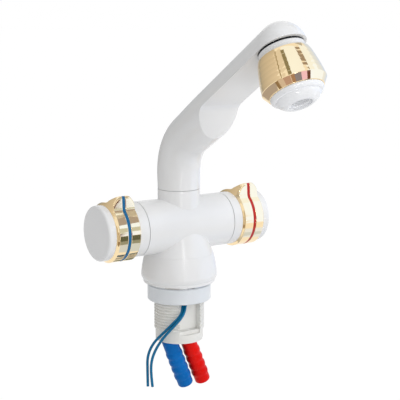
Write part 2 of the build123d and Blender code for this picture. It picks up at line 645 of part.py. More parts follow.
# Microswitch under each cam, and its plunger
switch_middle_x = SWITCH_X + SWITCH_W / 2
well = Plane((switch_middle_x, 0, 0))
with BuildPart() as microswitch:
    block(
        (SWITCH_X, SWITCH_X + SWITCH_W), (-SWITCH_L / 2, SWITCH_L / 2), (SWITCH_Z, SWITCH_TOP_Z),
    )
    tube(well, SWITCH_TOP_Z - PLUNGER_WELL, SWITCH_TOP_Z, PLUNGER_R + FIT, mode=Mode.SUBTRACT)
keep_pair(microswitch.part, "microswitch")

plunger_top_z = min(SWITCH_TOP_Z + PLUNGER_PROUD, CAM_BOTTOM_Z - CAM_GAP)
with BuildPart() as plunger:
    tube(well, SWITCH_TOP_Z - PLUNGER_WELL + CAM_LIFT + NEAR, plunger_top_z, PLUNGER_R)
keep_pair(plunger.part, "switch_plunger")

# Handle sleeve: turned collar at the body, thinner seat under the grip, hub on the spindle
hub_end_x = HUB_X + HUB_H
with BuildPart() as handle_sleeve:
    tube(BARREL, BARREL_HALF + SEAM, SLEEVE_X, BARREL_R)
    tube(BARREL, SLEEVE_X, SLEEVE_END_X, SLEEVE_SEAT_R)
    tube(BARREL, BARREL_HALF + SEAM, HUB_X, SLEEVE_BORE_R, mode=Mode.SUBTRACT)
    tube(BARREL, hub_end_x, SLEEVE_END_X, SLEEVE_BORE_R, mode=Mode.SUBTRACT)
    with BuildSketch(BARREL.offset(HUB_X)) as square_hole:
        Rectangle(STEM_SQUARE + 2 * FIT, STEM_SQUARE + 2 * FIT)
    extrude(square_hole.sketch, amount=HUB_H, mode=Mode.SUBTRACT)
keep_pair(handle_sleeve.part, "handle_sleeve")


def lobed_ring(start, end, inset):
    """A slice of the grip: a ring with a crowned thumb lobe above and in front of it."""
    middle = (SLEEVE_X + GRIP_X) / 2
    half = (GRIP_X - SLEEVE_X) / 2
    shoulder = half - RING_CHAMFER
    crown = half - CROWN_CHAMFER
    with BuildSketch(BARREL.offset(start)) as outline:
        Circle(GRIP_R)
        with BuildLine():
            Polyline(LOBE_BACK, LOBE_CREST, LOBE_FRONT, (0, 0), close=True)
        make_face()
        for corner, radius in (
            (LOBE_CREST, LOBE_CREST_ROUND), (LOBE_BACK, LOBE_BACK_ROUND), (LOBE_FRONT, LOBE_FRONT_ROUND),
        ):
            fillet(outline.vertices().sort_by_distance((*corner, 0))[0], radius)
        if inset:
            offset(amount=-inset)
    extrude(outline.sketch, amount=end - start)
    turned(BARREL, [
        (0, middle - half), (BARREL_R, middle - half), (GRIP_R, middle - shoulder),
        (GRIP_R + LOBE_FOOT, middle - shoulder), (LOBE_R, middle - crown), (LOBE_R, middle + crown),
        (GRIP_R + LOBE_FOOT, middle + shoulder), (GRIP_R, middle + shoulder), (BARREL_R, middle + half),
        (0, middle + half),
    ], mode=Mode.INTERSECT)
    tube(BARREL, start, end, SLEEVE_SEAT_R + FIT, mode=Mode.SUBTRACT)


# Grip: two plated rings with a coloured marker ring between them
with BuildPart() as grip_inner:
    lobed_ring(SLEEVE_X, MARKER_X, 0)
keep_pair(grip_inner.part, "grip_inner")

with BuildPart() as marker:
    lobed_ring(MARKER_X, MARKER_X + MARKER_W, MARKER_INSET)
keep_pair(marker.part, "marker_ring")

with BuildPart() as grip_outer:
    lobed_ring(MARKER_X + MARKER_W, GRIP_X, 0)
keep_pair(grip_outer.part, "grip_outer")

# End cap: a hollow lid whose spigot plugs into the sleeve
with BuildPart() as end_cap:
    tube(BARREL, GRIP_X, CAP_END_X, BARREL_R)
    fillet(end_cap.edges().sort_by(Axis.X)[-1], CAP_ROUND)
    tube(BARREL, GRIP_X - CAP_SPIGOT_H, GRIP_X, SLEEVE_BORE_R - FIT)
    tube(BARREL, GRIP_X - CAP_SPIGOT_H, CAP_END_X - CAP_FACE_H,
         SLEEVE_BORE_R - CAP_SPIGOT_WALL, mode=Mode.SUBTRACT)
keep_pair(end_cap.part, "end_cap")

with BuildPart() as handle_screw:
    tube(BARREL, screw_end_x + FIT, hub_end_x, SCREW_R)
    tube(BARREL, hub_end_x, hub_end_x + SCREW_HEAD_H, SCREW_HEAD_R)
    with BuildSketch(BARREL.offset(hub_end_x + SCREW_HEAD_H)) as drive:
        Rectangle(*SCREW_DRIVE)
        Rectangle(*SCREW_DRIVE, rotation=90)
    extrude(drive.sketch, amount=-SCREW_DRIVE_DEPTH, mode=Mode.SUBTRACT)
keep_pair(handle_screw.part, "handle_screw")

# Spout arm: spigot, tapering neck, bend, straight run and round end, with its underside
# cut flat at the middle beyond a slanted face
with BuildPart() as spout_arm:
    turned(UPRIGHT, [
        (0, SPIGOT_Z), (SPIGOT_R, SPIGOT_Z), (SPIGOT_R, NECK_TOP_Z + NEAR),
        (ARM_NECK_R, NECK_TOP_Z + NEAR), (ARM_BEND_TUBE_R, BEND_Z), (0, BEND_Z),
    ])
    with BuildSketch(Plane.XY.offset(BEND_Z)) as bend_section:
        Circle(ARM_BEND_TUBE_R)
    revolve(
        bend_section.sketch, axis=Axis((0, -ARM_BEND_R, BEND_Z), (1, 0, 0)),
        revolution_arc=90 - ARM_RISE,
    )
    along = Plane(ARM_MEET, x_dir=(1, 0, 0), z_dir=ARM_ALONG)
    turned(along, [
        (0, BEND_TANGENT), (ARM_BEND_TUBE_R, BEND_TANGENT), (ARM_R, BEND_TANGENT + ARM_SWELL),
        (ARM_R, ARM_REACH), (0, ARM_REACH),
    ])
    with Locations(ARM_END):
        Sphere(ARM_R)
    with BuildSketch(ARM_SIDE.offset(-ARM_R - 1)) as under_cut:
        with BuildLine():
            reach = ARM_REACH + ARM_R + 1
            depth = ARM_R + 1
            FilletPolyline(
                (ARM_CUT_START - depth, depth), (ARM_CUT_START, 0), (reach, 0),
                radius=[ARM_CUT_FILLET],
            )
            Polyline((reach, 0), (reach, depth), (ARM_CUT_START - depth, depth))
        make_face()
    extrude(under_cut.sketch, amount=2 * (ARM_R + 1), mode=Mode.SUBTRACT)
    with BuildLine() as passage:
        raised = ARM_MEET - ARM_DOWN * PASSAGE_RAISE
        to_axis = raised.Y / cos(radians(ARM_RISE))
        FilletPolyline(
            (0, 0, SPIGOT_Z), raised + ARM_ALONG * to_axis,
            raised + ARM_ALONG * HEAD_REACH, HEAD_CENTRE,
            radius=[PASSAGE_BEND_R, PASSAGE_END_R],
        )
    with BuildSketch(Plane.XY.offset(SPIGOT_Z)) as passage_section:
        Circle(SPIGOT_PASSAGE_R)
    sweep(passage_section.sketch, path=passage.line, mode=Mode.SUBTRACT)
    tube(HEAD, -COLLAR_SPIGOT_H - NEAR, 0, COLLAR_SPIGOT_R, mode=Mode.SUBTRACT)
    groove_floor_r = SPIGOT_R - 2 * RING_SECTION
    spout_ring_half = RING_SECTION + GROOVE_SIDE
    for z in SPOUT_RING_Z:
        tube(UPRIGHT, z - spout_ring_half, z + spout_ring_half, SPIGOT_R + 1,
             bore=groove_floor_r, mode=Mode.SUBTRACT)
    tube(UPRIGHT, CIRCLIP_Z - FIT, CIRCLIP_Z + CIRCLIP_H + FIT, SPIGOT_R + 1,
         bore=CIRCLIP_BORE_R - FIT, mode=Mode.SUBTRACT)
keep(spout_arm.part, "spout_arm")

with BuildPart() as spout_orings:
    for z in SPOUT_RING_Z:
        ring(UPRIGHT, z, groove_floor_r + RING_FIT, RING_SECTION)
keep(spout_orings.part, "spout_orings")

with BuildPart() as spout_circlip:
    with BuildSketch(Plane.XY.offset(CIRCLIP_Z)) as clip:
        Circle(CIRCLIP_R)
        Circle(CIRCLIP_BORE_R, mode=Mode.SUBTRACT)
        with BuildLine():
            opening = CIRCLIP_R * 2 * tan(radians(CIRCLIP_OPENING / 2))
            Polyline((0, 0), (opening, CIRCLIP_R * 2), (-opening, CIRCLIP_R * 2), close=True)
        make_face(mode=Mode.SUBTRACT)
    extrude(clip.sketch, amount=CIRCLIP_H)
keep(spout_circlip.part, "spout_circlip")

# Spray head: seal, collar, ribbed cap, screen, flow insert and nozzle
with BuildPart() as head_seal:
    tube(HEAD, 0, HEAD_SEAL_H, HEAD_SEAL_R, COLLAR_SPIGOT_R)
keep(head_seal.part, "head_seal")

web_start = HEAD_COLLAR_END + NEAR
web_end = web_start + CAP_WEB
lip_end = web_end + NEAR + JOURNAL_LIP_H
with BuildPart() as head_collar:
    turned(HEAD, [
        (SPIGOT_PASSAGE_R, -COLLAR_SPIGOT_H), (COLLAR_SPIGOT_R - FIT, -COLLAR_SPIGOT_H),
        (COLLAR_SPIGOT_R - FIT, HEAD_SEAL_H), (HEAD_COLLAR_R, HEAD_SEAL_H),
        (HEAD_COLLAR_R, HEAD_COLLAR_END), (JOURNAL_R, HEAD_COLLAR_END),
        (JOURNAL_R, web_end + NEAR), (JOURNAL_LIP_R, web_end + NEAR),
        (JOURNAL_R, lip_end), (SPIGOT_PASSAGE_R, lip_end),
    ])
keep(head_collar.part, "head_collar")


def cap_radius(height):
    """Radius of the ribbed cap's swelling side at a height along the head."""
    share = (height - CAP_RIB_START) / (CAP_WIDE - CAP_RIB_START)
    return CAP_SHOULDER_R + (CAP_WIDE_R - CAP_SHOULDER_R) * (
        (1 + CAP_SWELL) * share - CAP_SWELL * share ** 2)


with BuildPart() as head_cap:
    with BuildSketch(Plane(HEAD.origin, x_dir=HEAD.x_dir, z_dir=-HEAD.y_dir)) as cap_section:
        with BuildLine():
            Line((HEAD_COLLAR_R + NEAR, CAP_TOP), (CAP_TOP_R, CAP_TOP))
            Line((CAP_TOP_R, CAP_TOP), (CAP_SHOULDER_R, CAP_RIB_START))
            rib = (CAP_RIB_END - CAP_RIB_START) / CAP_RIB_COUNT
            for index in range(CAP_RIB_COUNT):
                low = CAP_RIB_START + index * rib
                ThreePointArc(
                    (cap_radius(low), low),
                    (cap_radius(low + rib / 2) + CAP_RIB_RISE, low + rib / 2),
                    (cap_radius(low + rib), low + rib),
                )
            ThreePointArc(
                (cap_radius(CAP_RIB_END), CAP_RIB_END),
                (CAP_WIDE_R, CAP_WIDE),
                (CAP_WIDE_R - CAP_EDGE[0], CAP_WIDE + CAP_EDGE[1]),
            )
            Polyline(
                (CAP_WIDE_R - CAP_EDGE[0], CAP_WIDE + CAP_EDGE[1]), (CAP_END_R, CAP_END),
                (NOZZLE_R + FIT, CAP_END), (NOZZLE_R + FIT, web_end), (JOURNAL_R + FIT, web_end),
                (JOURNAL_R + FIT, web_start), (HEAD_COLLAR_R + NEAR, web_start),
                (HEAD_COLLAR_R + NEAR, CAP_TOP),
            )
        make_face()
    revolve(cap_section.sketch, axis=Axis(HEAD.origin, HEAD.z_dir))
keep(head_cap.part, "head_cap")

screen_start = NOZZLE_FLOOR - INSERT_H - SCREEN_H
with BuildPart() as mesh_screen:
    tube(HEAD, screen_start, screen_start + SCREEN_H, NOZZLE_BORE_R - FIT)
    with BuildSketch(HEAD.offset(screen_start)) as mesh:
        with HexLocations(MESH_APOTHEM, MESH_COUNT, MESH_COUNT):
            Circle(MESH_HOLE_R)
    extrude(mesh.sketch, amount=SCREEN_H, mode=Mode.SUBTRACT)
keep(mesh_screen.part, "mesh_screen")

with BuildPart() as flow_insert:
    tube(HEAD, NOZZLE_FLOOR - INSERT_H, NOZZLE_FLOOR, NOZZLE_BORE_R - FIT)
    with BuildSketch(HEAD.offset(NOZZLE_FLOOR - INSERT_H)) as jets:
        Circle(JET_MIDDLE_R)
        for radius, count in JET_RINGS:
            with PolarLocations(radius, count):
                Circle(JET_R)
    extrude(jets.sketch, amount=INSERT_H, mode=Mode.SUBTRACT)
keep(flow_insert.part, "flow_insert")

with BuildPart() as nozzle:
    with BuildSketch(Plane(HEAD.origin, x_dir=HEAD.x_dir, z_dir=-HEAD.y_dir)) as nozzle_section:
        with BuildLine():
            rim_start = CAP_END + FIT
            outlet_floor = NOZZLE_END - NOZZLE_OUTLET_DEPTH
            dome_start = (NOZZLE_DOME_R, NOZZLE_RIM_END[1] + NEAR)
            Polyline(
                (NOZZLE_RIM_R, rim_start), (NOZZLE_R, rim_start), (NOZZLE_R, web_end),
                (NOZZLE_BORE_R, web_end), (NOZZLE_BORE_R, NOZZLE_FLOOR),
                (NOZZLE_THROAT_R, NOZZLE_FLOOR), (NOZZLE_THROAT_R, outlet_floor),
                (NOZZLE_OUTLET_R, outlet_floor), (NOZZLE_OUTLET_R, NOZZLE_END),
                (NOZZLE_FACE_R, NOZZLE_END),
            )
            ThreePointArc((NOZZLE_FACE_R, NOZZLE_END), NOZZLE_DOME, dome_start)
            Line(dome_start, NOZZLE_RIM_END)
            ThreePointArc(NOZZLE_RIM_END, NOZZLE_RIM, (NOZZLE_RIM_R, rim_start))
        make_face()
    revolve(nozzle_section.sketch, axis=Axis(HEAD.origin, HEAD.z_dir))
keep(nozzle.part, "nozzle")

# Free switch wires: they leave the groove under the nut, cross the thread and hang down
OUTER_WIRE = [
    (-4.5, -11.8, -10.0), (-5.6, -12.5, -14.6), (-9.4, -16.4, -18.6), (-14.5, -14.2, -24.0),
    (-19.3, -9.4, -31.0), (-22.2, -2.6, -38.6), (-23.4, 2.6, -48.5), (-22.2, 4.4, -59.4),
    (-21.7, 4.9, -70.3),
]
INNER_WIRE = [
    (-2.4, -12.2, -10.0), (-3.6, -13.0, -15.2), (-7.6, -17.1, -19.9), (-12.8, -15.4, -25.7),
    (-17.8, -10.9, -33.2), (-20.9, -4.9, -41.5), (-22.2, -0.6, -51.0), (-21.2, 1.7, -61.0),
    (-20.1, 1.6, -70.0),
]


def bend_radii(points):
    """The radius at each corner: 0.45 of the shorter run over the tangent of half the turn."""
    runs = [Vector(*b) - Vector(*a) for a, b in zip(points, points[1:])]
    return [
        0.45 * min(a.length, b.length) / tan(radians(a.get_angle(b)) / 2)
        for a, b in zip(runs, runs[1:])
    ]


for name, points in (("outer_wire", OUTER_WIRE), ("inner_wire", INNER_WIRE)):
    radii = bend_radii(points)
    print(name, "radii", [round(radius, 1) for radius in radii])
    with BuildPart() as wire:
        cord(points, radii, WIRE_R)
    runs = [(Vector(*b) - Vector(*a)).length for a, b in zip(points, points[1:])]
    print(name, "volume over straight runs", round(wire.part.volume / (pi * WIRE_R ** 2 * sum(runs)), 3))
    keep(wire.part, name)

# Leads inside the body: from a switch through the shank's window to the free wire
for name, side, points in (("cold", -1, OUTER_WIRE), ("hot", 1, INNER_WIRE)):
    start, onward = Vector(*points[0]), Vector(*points[1])
    above = start + (start - onward).normalized() * LEAD_STRAIGHT
    sheltered_y = -CHANNEL_Y / 2 + 2 * WIRE_R
    lead_points = [
        start, above, Vector(above.X, sheltered_y, GROOVE_TOP_Z),
        Vector(side * LEAD_PASS_X[name], sheltered_y, LEAD_PASS_Z),
        Vector(side * LEAD_TURN[0], LEAD_TURN[1], SLOT_Z + WIRE_R),
        Vector(side * LEAD_RUN[0], LEAD_RUN[1], SLOT_Z + WIRE_R + NEAR),
        Vector(side * LEAD_RISE_X, LEAD_RUN[1], LEAD_END_Z),
        Vector(side * SWITCH_X, LEAD_RUN[1], LEAD_END_Z),
    ]
    lead_radii = bend_radii([tuple(point) for point in lead_points])
    with BuildPart() as lead:
        cord(lead_points, [min(radius, LEAD_BEND_R) for radius in lead_radii], WIRE_R)
    keep(lead.part, f"{name}_lead")

with BuildPart() as switch_links:
    for y in LINK_Y:
        link = Plane((0, y, LINK_Z), x_dir=(0, 1, 0), z_dir=(1, 0, 0))
        tube(link, -SWITCH_X, SWITCH_X, LINK_R)
keep(switch_links.part, "switch_links")
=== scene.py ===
"""Studio scene of a deck mixer tap with side handles, a cranked spout and a twist spray head."""

import cmath
import json
import logging
from collections.abc import Callable, Sequence
from dataclasses import dataclass, replace
from enum import Enum
from math import atan2, cos, pi, radians, sin, sqrt, tan

import bmesh
import bpy
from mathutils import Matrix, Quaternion, Vector

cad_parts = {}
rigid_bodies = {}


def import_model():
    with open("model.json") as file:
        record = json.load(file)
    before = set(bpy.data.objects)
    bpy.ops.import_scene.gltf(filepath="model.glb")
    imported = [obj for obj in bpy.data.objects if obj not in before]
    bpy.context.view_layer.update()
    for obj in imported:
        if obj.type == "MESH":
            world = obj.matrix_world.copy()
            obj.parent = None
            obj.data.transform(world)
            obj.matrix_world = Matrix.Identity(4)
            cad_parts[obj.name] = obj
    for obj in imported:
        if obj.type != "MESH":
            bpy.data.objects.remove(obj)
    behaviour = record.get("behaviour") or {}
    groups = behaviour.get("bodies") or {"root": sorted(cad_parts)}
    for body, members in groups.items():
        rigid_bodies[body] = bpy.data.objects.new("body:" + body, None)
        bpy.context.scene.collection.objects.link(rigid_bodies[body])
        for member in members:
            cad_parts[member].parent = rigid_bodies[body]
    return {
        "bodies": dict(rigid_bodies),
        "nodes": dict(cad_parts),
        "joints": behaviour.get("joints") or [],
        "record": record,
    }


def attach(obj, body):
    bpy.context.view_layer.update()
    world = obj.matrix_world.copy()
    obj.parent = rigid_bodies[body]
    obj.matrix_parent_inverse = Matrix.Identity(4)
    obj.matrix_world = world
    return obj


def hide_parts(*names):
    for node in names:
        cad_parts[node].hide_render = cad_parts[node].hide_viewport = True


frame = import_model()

log = logging.getLogger("mixer_tap")

MM = 0.001
TURN = 2 * pi
Colour = tuple[float, float, float, float]
Pair = tuple[float, float]
Triple = tuple[float, float, float]
Socket = bpy.types.NodeSocket
Value = float | Sequence[float] | Socket
WHITE: Colour = (1.0, 1.0, 1.0, 1.0)
UP = Vector((0.0, 0.0, 1.0))


class Side(Enum):
    """The two supplies, each with the sign of X that it lies on."""

    COLD = -1
    HOT = 1


# Nodes


class Graph:
    """Short calls that add and join the nodes of one tree."""

    def __init__(self, tree: bpy.types.NodeTree) -> None:
        """Take a tree and empty it."""
        self.tree = tree
        tree.nodes.clear()

    def add(self, kind: str, values: dict[str | int, Value] | None = None,
            **settings: object) -> bpy.types.Node:
        """Add one node.

        Args:
            kind: Full class name of the node.
            values: Numbers for its inputs, or sockets to join to them.
            settings: Properties of the node itself.

        Returns:
            The new node.
        """
        node = self.tree.nodes.new(kind)
        for name, setting in settings.items():
            setattr(node, name, setting)
        for key, value in (values or {}).items():
            if isinstance(value, Socket):
                self.tree.links.new(value, node.inputs[key])
            else:
                node.inputs[key].default_value = value
        return node

    def math(self, operation: str, *terms: Value) -> Socket:
        """Add a Math node and return its result."""
        return self.add("ShaderNodeMath", dict(enumerate(terms)), operation=operation).outputs[0]

    def vector(self, operation: str, *terms: Value) -> Socket:
        """Add a Vector Math node and return its vector."""
        node = self.add("ShaderNodeVectorMath", dict(enumerate(terms)), operation=operation)
        return node.outputs["Value" if operation in ("DOT_PRODUCT", "LENGTH") else "Vector"]

    def place(self) -> Socket:
        """Object coordinates, which are the tap's own at rest and travel with each body."""
        return self.add("ShaderNodeTexCoord").outputs["Object"]

    def noise(self, scale: Value, detail: float, at: Socket | None = None) -> Socket:
        """Add a Noise Texture and return its value.

        Args:
            scale: Cells to the metre.
            detail: Octaves.
            at: Place to read it at, or None for object coordinates.

        Returns:
            The value's socket.
        """
        return self.add("ShaderNodeTexNoise", {
            "Vector": at or self.place(), "Scale": scale, "Detail": detail}).outputs[0]

    def spread(self, value: Value, low: Pair, high: tuple[Value, Value] = (0.0, 1.0)) -> Socket:
        """Map a value from one range to another and clamp it."""
        return self.add("ShaderNodeMapRange", {
            "Value": value, "From Min": low[0], "From Max": low[1],
            "To Min": high[0], "To Max": high[1]}, clamp=True).outputs[0]

    def mix(self, share: Value, first: Value, second: Value, **settings: str) -> Socket:
        """Mix two colours and return the result."""
        return self.add("ShaderNodeMix", {0: share, 6: first, 7: second}, data_type="RGBA",
                        **settings).outputs[2]


def new_material(name: str) -> tuple[bpy.types.Material, Graph]:
    """Make a material.

    Args:
        name: Its name.

    Returns:
        The material and the empty graph of its nodes.
    """
    made = bpy.data.materials.new(name)
    made.use_nodes = True
    return made, Graph(made.node_tree)


class Effect(Enum):
    """Shared shader groups, each built once and placed in materials with its own values."""

    FINE_GRAIN = "fine_grain"
    GLOSS_DRIFT = "gloss_drift"
    COLOUR_DRIFT = "colour_drift"
    SOFT_EDGES = "soft_edges"
    TURNING_MARKS = "turning_marks"
    CREASE_SHADE = "crease_shade"
    EDGE_WEAR = "edge_wear"


class EffectShop:
    """Builds each shared group when a material first asks for it."""

    KINDS = {"f": "Float", "v": "Vector", "c": "Color"}
    BEVEL_SAMPLES, OPEN_SAMPLES = 6, 8
    FINER, FINER_SHARE = 3.7, 0.4
    WIPE_STRETCH, WIPE_FINER, WIPE_SHARE = (1.0, 1.0, 2.5), 3.0, 0.15
    GLOSS_BAND, COLOUR_BAND = (0.32, 0.68), (0.35, 0.65)
    OPEN_BAND, EDGE_BAND = (0.1, 0.75), (0.004, 0.07)
    BROKEN_SCALE, BROKEN_BAND, BROKEN_RANGE = 1400.0, (0.35, 0.6), (0.3, 1.0)

    def __init__(self) -> None:
        """Start with no group built."""
        self.built: dict[Effect, bpy.types.NodeTree] = {}

    def open(self, effect: Effect, inputs: dict[str, str], output: tuple[str, str]) -> tuple[
            Graph, bpy.types.NodeOutputs, Callable[[Socket], None]]:
        """Make an empty group with its sockets.

        Args:
            effect: The group, which gives its name.
            inputs: Socket names with the letter of their kind.
            output: The output's name and the letter of its kind.

        Returns:
            The graph, the group's inputs and a call that joins a socket to its output.
        """
        tree = bpy.data.node_groups.new(effect.value, "ShaderNodeTree")
        graph = Graph(tree)
        sockets = [(name, kind, "INPUT") for name, kind in inputs.items()] + [(*output, "OUTPUT")]
        for name, kind, way in sockets:
            tree.interface.new_socket(name=name, in_out=way,
                                      socket_type="NodeSocket" + self.KINDS[kind])
        given = graph.add("NodeGroupInput").outputs
        end = graph.add("NodeGroupOutput")

        def close(socket: Socket) -> None:
            """Join a socket to the group's output."""
            tree.links.new(socket, end.inputs[0])

        self.built[effect] = tree
        return graph, given, close

    def fine_grain(self) -> None:
        """Fine moulded or cast skin as a height: two noises, the second finer."""
        graph, given, close = self.open(Effect.FINE_GRAIN, {"Scale": "f"}, ("Height", "f"))
        finer = graph.math("MULTIPLY", given["Scale"], self.FINER)
        broad = graph.noise(given["Scale"], 3.0)
        fine = graph.math("MULTIPLY", graph.noise(finer, 2.0), self.FINER_SHARE)
        close(graph.math("ADD", broad, fine))

    def gloss_drift(self) -> None:
        """Roughness that drifts between two values, with faint wiped patches."""
        graph, given, close = self.open(
            Effect.GLOSS_DRIFT, {"Low": "f", "High": "f", "Scale": "f"}, ("Roughness", "f"))
        patches = graph.noise(given["Scale"], 4.0)
        stretched = graph.vector("MULTIPLY", graph.place(), self.WIPE_STRETCH)
        finer = graph.math("MULTIPLY", given["Scale"], self.WIPE_FINER)
        mixed = graph.math(
            "ADD", graph.math("MULTIPLY", patches, 1.0 - self.WIPE_SHARE),
            graph.math("MULTIPLY", graph.noise(finer, 3.0, stretched), self.WIPE_SHARE))
        close(graph.spread(mixed, self.GLOSS_BAND, (given["Low"], given["High"])))

    def colour_drift(self) -> None:
        """A colour that drifts gently between two given ones."""
        graph, given, close = self.open(
            Effect.COLOUR_DRIFT, {"Light": "c", "Dark": "c", "Scale": "f"}, ("Color", "c"))
        share = graph.spread(graph.noise(given["Scale"], 3.0), self.COLOUR_BAND)
        close(graph.mix(share, given["Light"], given["Dark"]))

    def soft_edges(self) -> None:
        """Normals that round every sharp edge by a small radius."""
        graph, given, close = self.open(Effect.SOFT_EDGES, {"Radius": "f"}, ("Normal", "v"))
        close(graph.add("ShaderNodeBevel", {"Radius": given["Radius"]},
                        samples=self.BEVEL_SAMPLES).outputs[0])

    def turning_marks(self) -> None:
        """Fine rings left by turning or polishing about an axis, as a height."""
        graph, given, close = self.open(
            Effect.TURNING_MARKS, {"Origin": "v", "Axis": "v", "Scale": "f"}, ("Height", "f"))
        offset = graph.vector("SUBTRACT", graph.place(), given["Origin"])
        along = graph.vector("DOT_PRODUCT", offset, given["Axis"])
        length = graph.vector("LENGTH", offset)
        squared = graph.math("SUBTRACT", graph.math("MULTIPLY", length, length),
                             graph.math("MULTIPLY", along, along))
        outward = graph.math("SQRT", graph.math("MAXIMUM", squared, 0.0))
        across = graph.add("ShaderNodeCombineXYZ", {0: along, 1: outward}).outputs[0]
        close(graph.noise(given["Scale"], 3.0, across))

    def crease_shade(self) -> None:
        """A mask of painted shade: 1 in the open, falling in narrow joints and creases."""
        graph, given, close = self.open(Effect.CREASE_SHADE, {"Reach": "f", "Least": "f"},
                                        ("Mask", "f"))
        occlusion = graph.add("ShaderNodeAmbientOcclusion", {"Distance": given["Reach"]},
                              samples=self.OPEN_SAMPLES)
        close(graph.spread(occlusion.outputs["AO"], self.OPEN_BAND, (given["Least"], 1.0)))

    def edge_wear(self) -> None:
        """A mask along edges, broken by noise, for plating or skin rubbed thin."""
        graph, given, close = self.open(Effect.EDGE_WEAR, {"Width": "f", "Amount": "f"},
                                        ("Mask", "f"))
        rounded = graph.add("ShaderNodeBevel", {"Radius": given["Width"]},
                            samples=self.BEVEL_SAMPLES)
        true = graph.add("ShaderNodeNewGeometry").outputs["Normal"]
        away = graph.math("SUBTRACT", 1.0, graph.vector("DOT_PRODUCT", rounded.outputs[0], true))
        edge = graph.spread(away, self.EDGE_BAND)
        noise = graph.noise(self.BROKEN_SCALE, 3.0)
        broken = graph.spread(noise, self.BROKEN_BAND, self.BROKEN_RANGE)
        close(graph.math("MULTIPLY", graph.math("MULTIPLY", edge, broken), given["Amount"]))

    def place(self, graph: Graph, effect: Effect, values: dict[str | int, Value]) -> Socket:
        """Place a group in a material.

        Args:
            graph: The material's graph.
            effect: Which group, built now if it hasn't been.
            values: Values or sockets for its inputs.

        Returns:
            The group's one output.
        """
        if effect not in self.built:
            getattr(self, effect.value)()
        return graph.add("ShaderNodeGroup", values, node_tree=self.built[effect]).outputs[0]


SHOP = EffectShop()


# Finishes


BARREL_Z = 37.8 * MM


@dataclass(frozen=True)
class Finish:
    """A surface, with its grain's scale and depth and the reach and least light of the shade
    painted into its creases.

    Depth, reach and radius are in millimetres.
    """

    name: str
    light: Triple
    dark: Triple
    gloss: Pair
    grain: Pair = (2600.0, 0.01)
    edge_radius: float = 0.25
    drift_scale: float = 45.0
    # Reach in millimetres and least share of the painted crease shade.
    crease: Pair = (2.5, 0.72)
    metallic: float = 0.0
    refraction: float = 1.5
    specular: float = 0.5

    def drift(self, graph: Graph) -> Socket:
        """The colour that drifts between the finish's two."""
        return SHOP.place(graph, Effect.COLOUR_DRIFT, {
            "Light": (*self.light, 1.0), "Dark": (*self.dark, 1.0), "Scale": self.drift_scale})

    def colour(self, graph: Graph) -> Socket:
        """The drifting colour, with painted shade that darkens it in joints and creases."""
        # Painted shade: ambient occlusion darkens the colour in creases and joints.
        crease = SHOP.place(graph, Effect.CREASE_SHADE, {
            "Reach": self.crease[0] * MM, "Least": self.crease[1]})
        return graph.mix(1.0, self.drift(graph), crease, blend_type="MULTIPLY")

    def roughness(self, graph: Graph) -> Socket:
        """The drifting roughness."""
        return SHOP.place(graph, Effect.GLOSS_DRIFT, {
            "Low": self.gloss[0], "High": self.gloss[1], "Scale": self.drift_scale})

    def height(self, graph: Graph) -> Socket:
        """The fine skin."""
        return SHOP.place(graph, Effect.FINE_GRAIN, {"Scale": self.grain[0]})

    def material(self) -> bpy.types.Material:
        """Build the material, or return it if it has been built.

        Returns:
            The finish's material.
        """
        name = "finish_" + self.name
        made = bpy.data.materials.get(name)
        if made:
            return made
        made, graph = new_material(name)
        made.diffuse_color = (*self.light, 1.0)
        edges = SHOP.place(graph, Effect.SOFT_EDGES, {"Radius": self.edge_radius * MM})
        skin = graph.add("ShaderNodeBump", {
            "Distance": self.grain[1] * MM, "Height": self.height(graph), "Normal": edges})
        shader = graph.add("ShaderNodeBsdfPrincipled", {
            "Base Color": self.colour(graph), "Roughness": self.roughness(graph),
            "Metallic": self.metallic, "IOR": self.refraction,
            "Specular IOR Level": self.specular, "Normal": skin.outputs[0]})
        graph.add("ShaderNodeOutputMaterial", {"Surface": shader.outputs[0]})
        return made


@dataclass(frozen=True)
class TurnedMetal(Finish):
    """Metal turned or polished about an axis, so that its grain runs round it."""

    metallic: float = 1.0
    origin: Triple = (0.0, 0.0, BARREL_Z)
    axis: Triple = (1.0, 0.0, 0.0)
    worn: Triple = (0.97, 0.86, 0.62)
    wear: float = 0.5
    wear_width: float = 0.35

    def height(self, graph: Graph) -> Socket:
        """The turning marks."""
        return SHOP.place(graph, Effect.TURNING_MARKS, {
            "Origin": self.origin, "Axis": self.axis, "Scale": self.grain[0]})

    def colour(self, graph: Graph) -> Socket:
        """The metal's colour, paler where its edges are rubbed."""
        rubbed = SHOP.place(graph, Effect.EDGE_WEAR, {
            "Width": self.wear_width * MM, "Amount": self.wear})
        return graph.mix(rubbed, self.drift(graph), (*self.worn, 1.0))


ARM_RISE = radians(31.6)
ARM_ALONG = Vector((0.0, -cos(ARM_RISE), sin(ARM_RISE)))
ARM_DOWN = Vector((0.0, -sin(ARM_RISE), -cos(ARM_RISE)))
ARM_MEET = Vector((0.0, 0.0, 88.9 * MM))
HEAD_CENTRE = ARM_MEET + ARM_ALONG * (123.2 * MM)

WHITE_GLOSS = Finish("white_gloss", (0.85, 0.853, 0.858), (0.83, 0.834, 0.842), (0.23, 0.27),
                     grain=(1500.0, 0.003), edge_radius=0.3, crease=(1.2, 0.93))
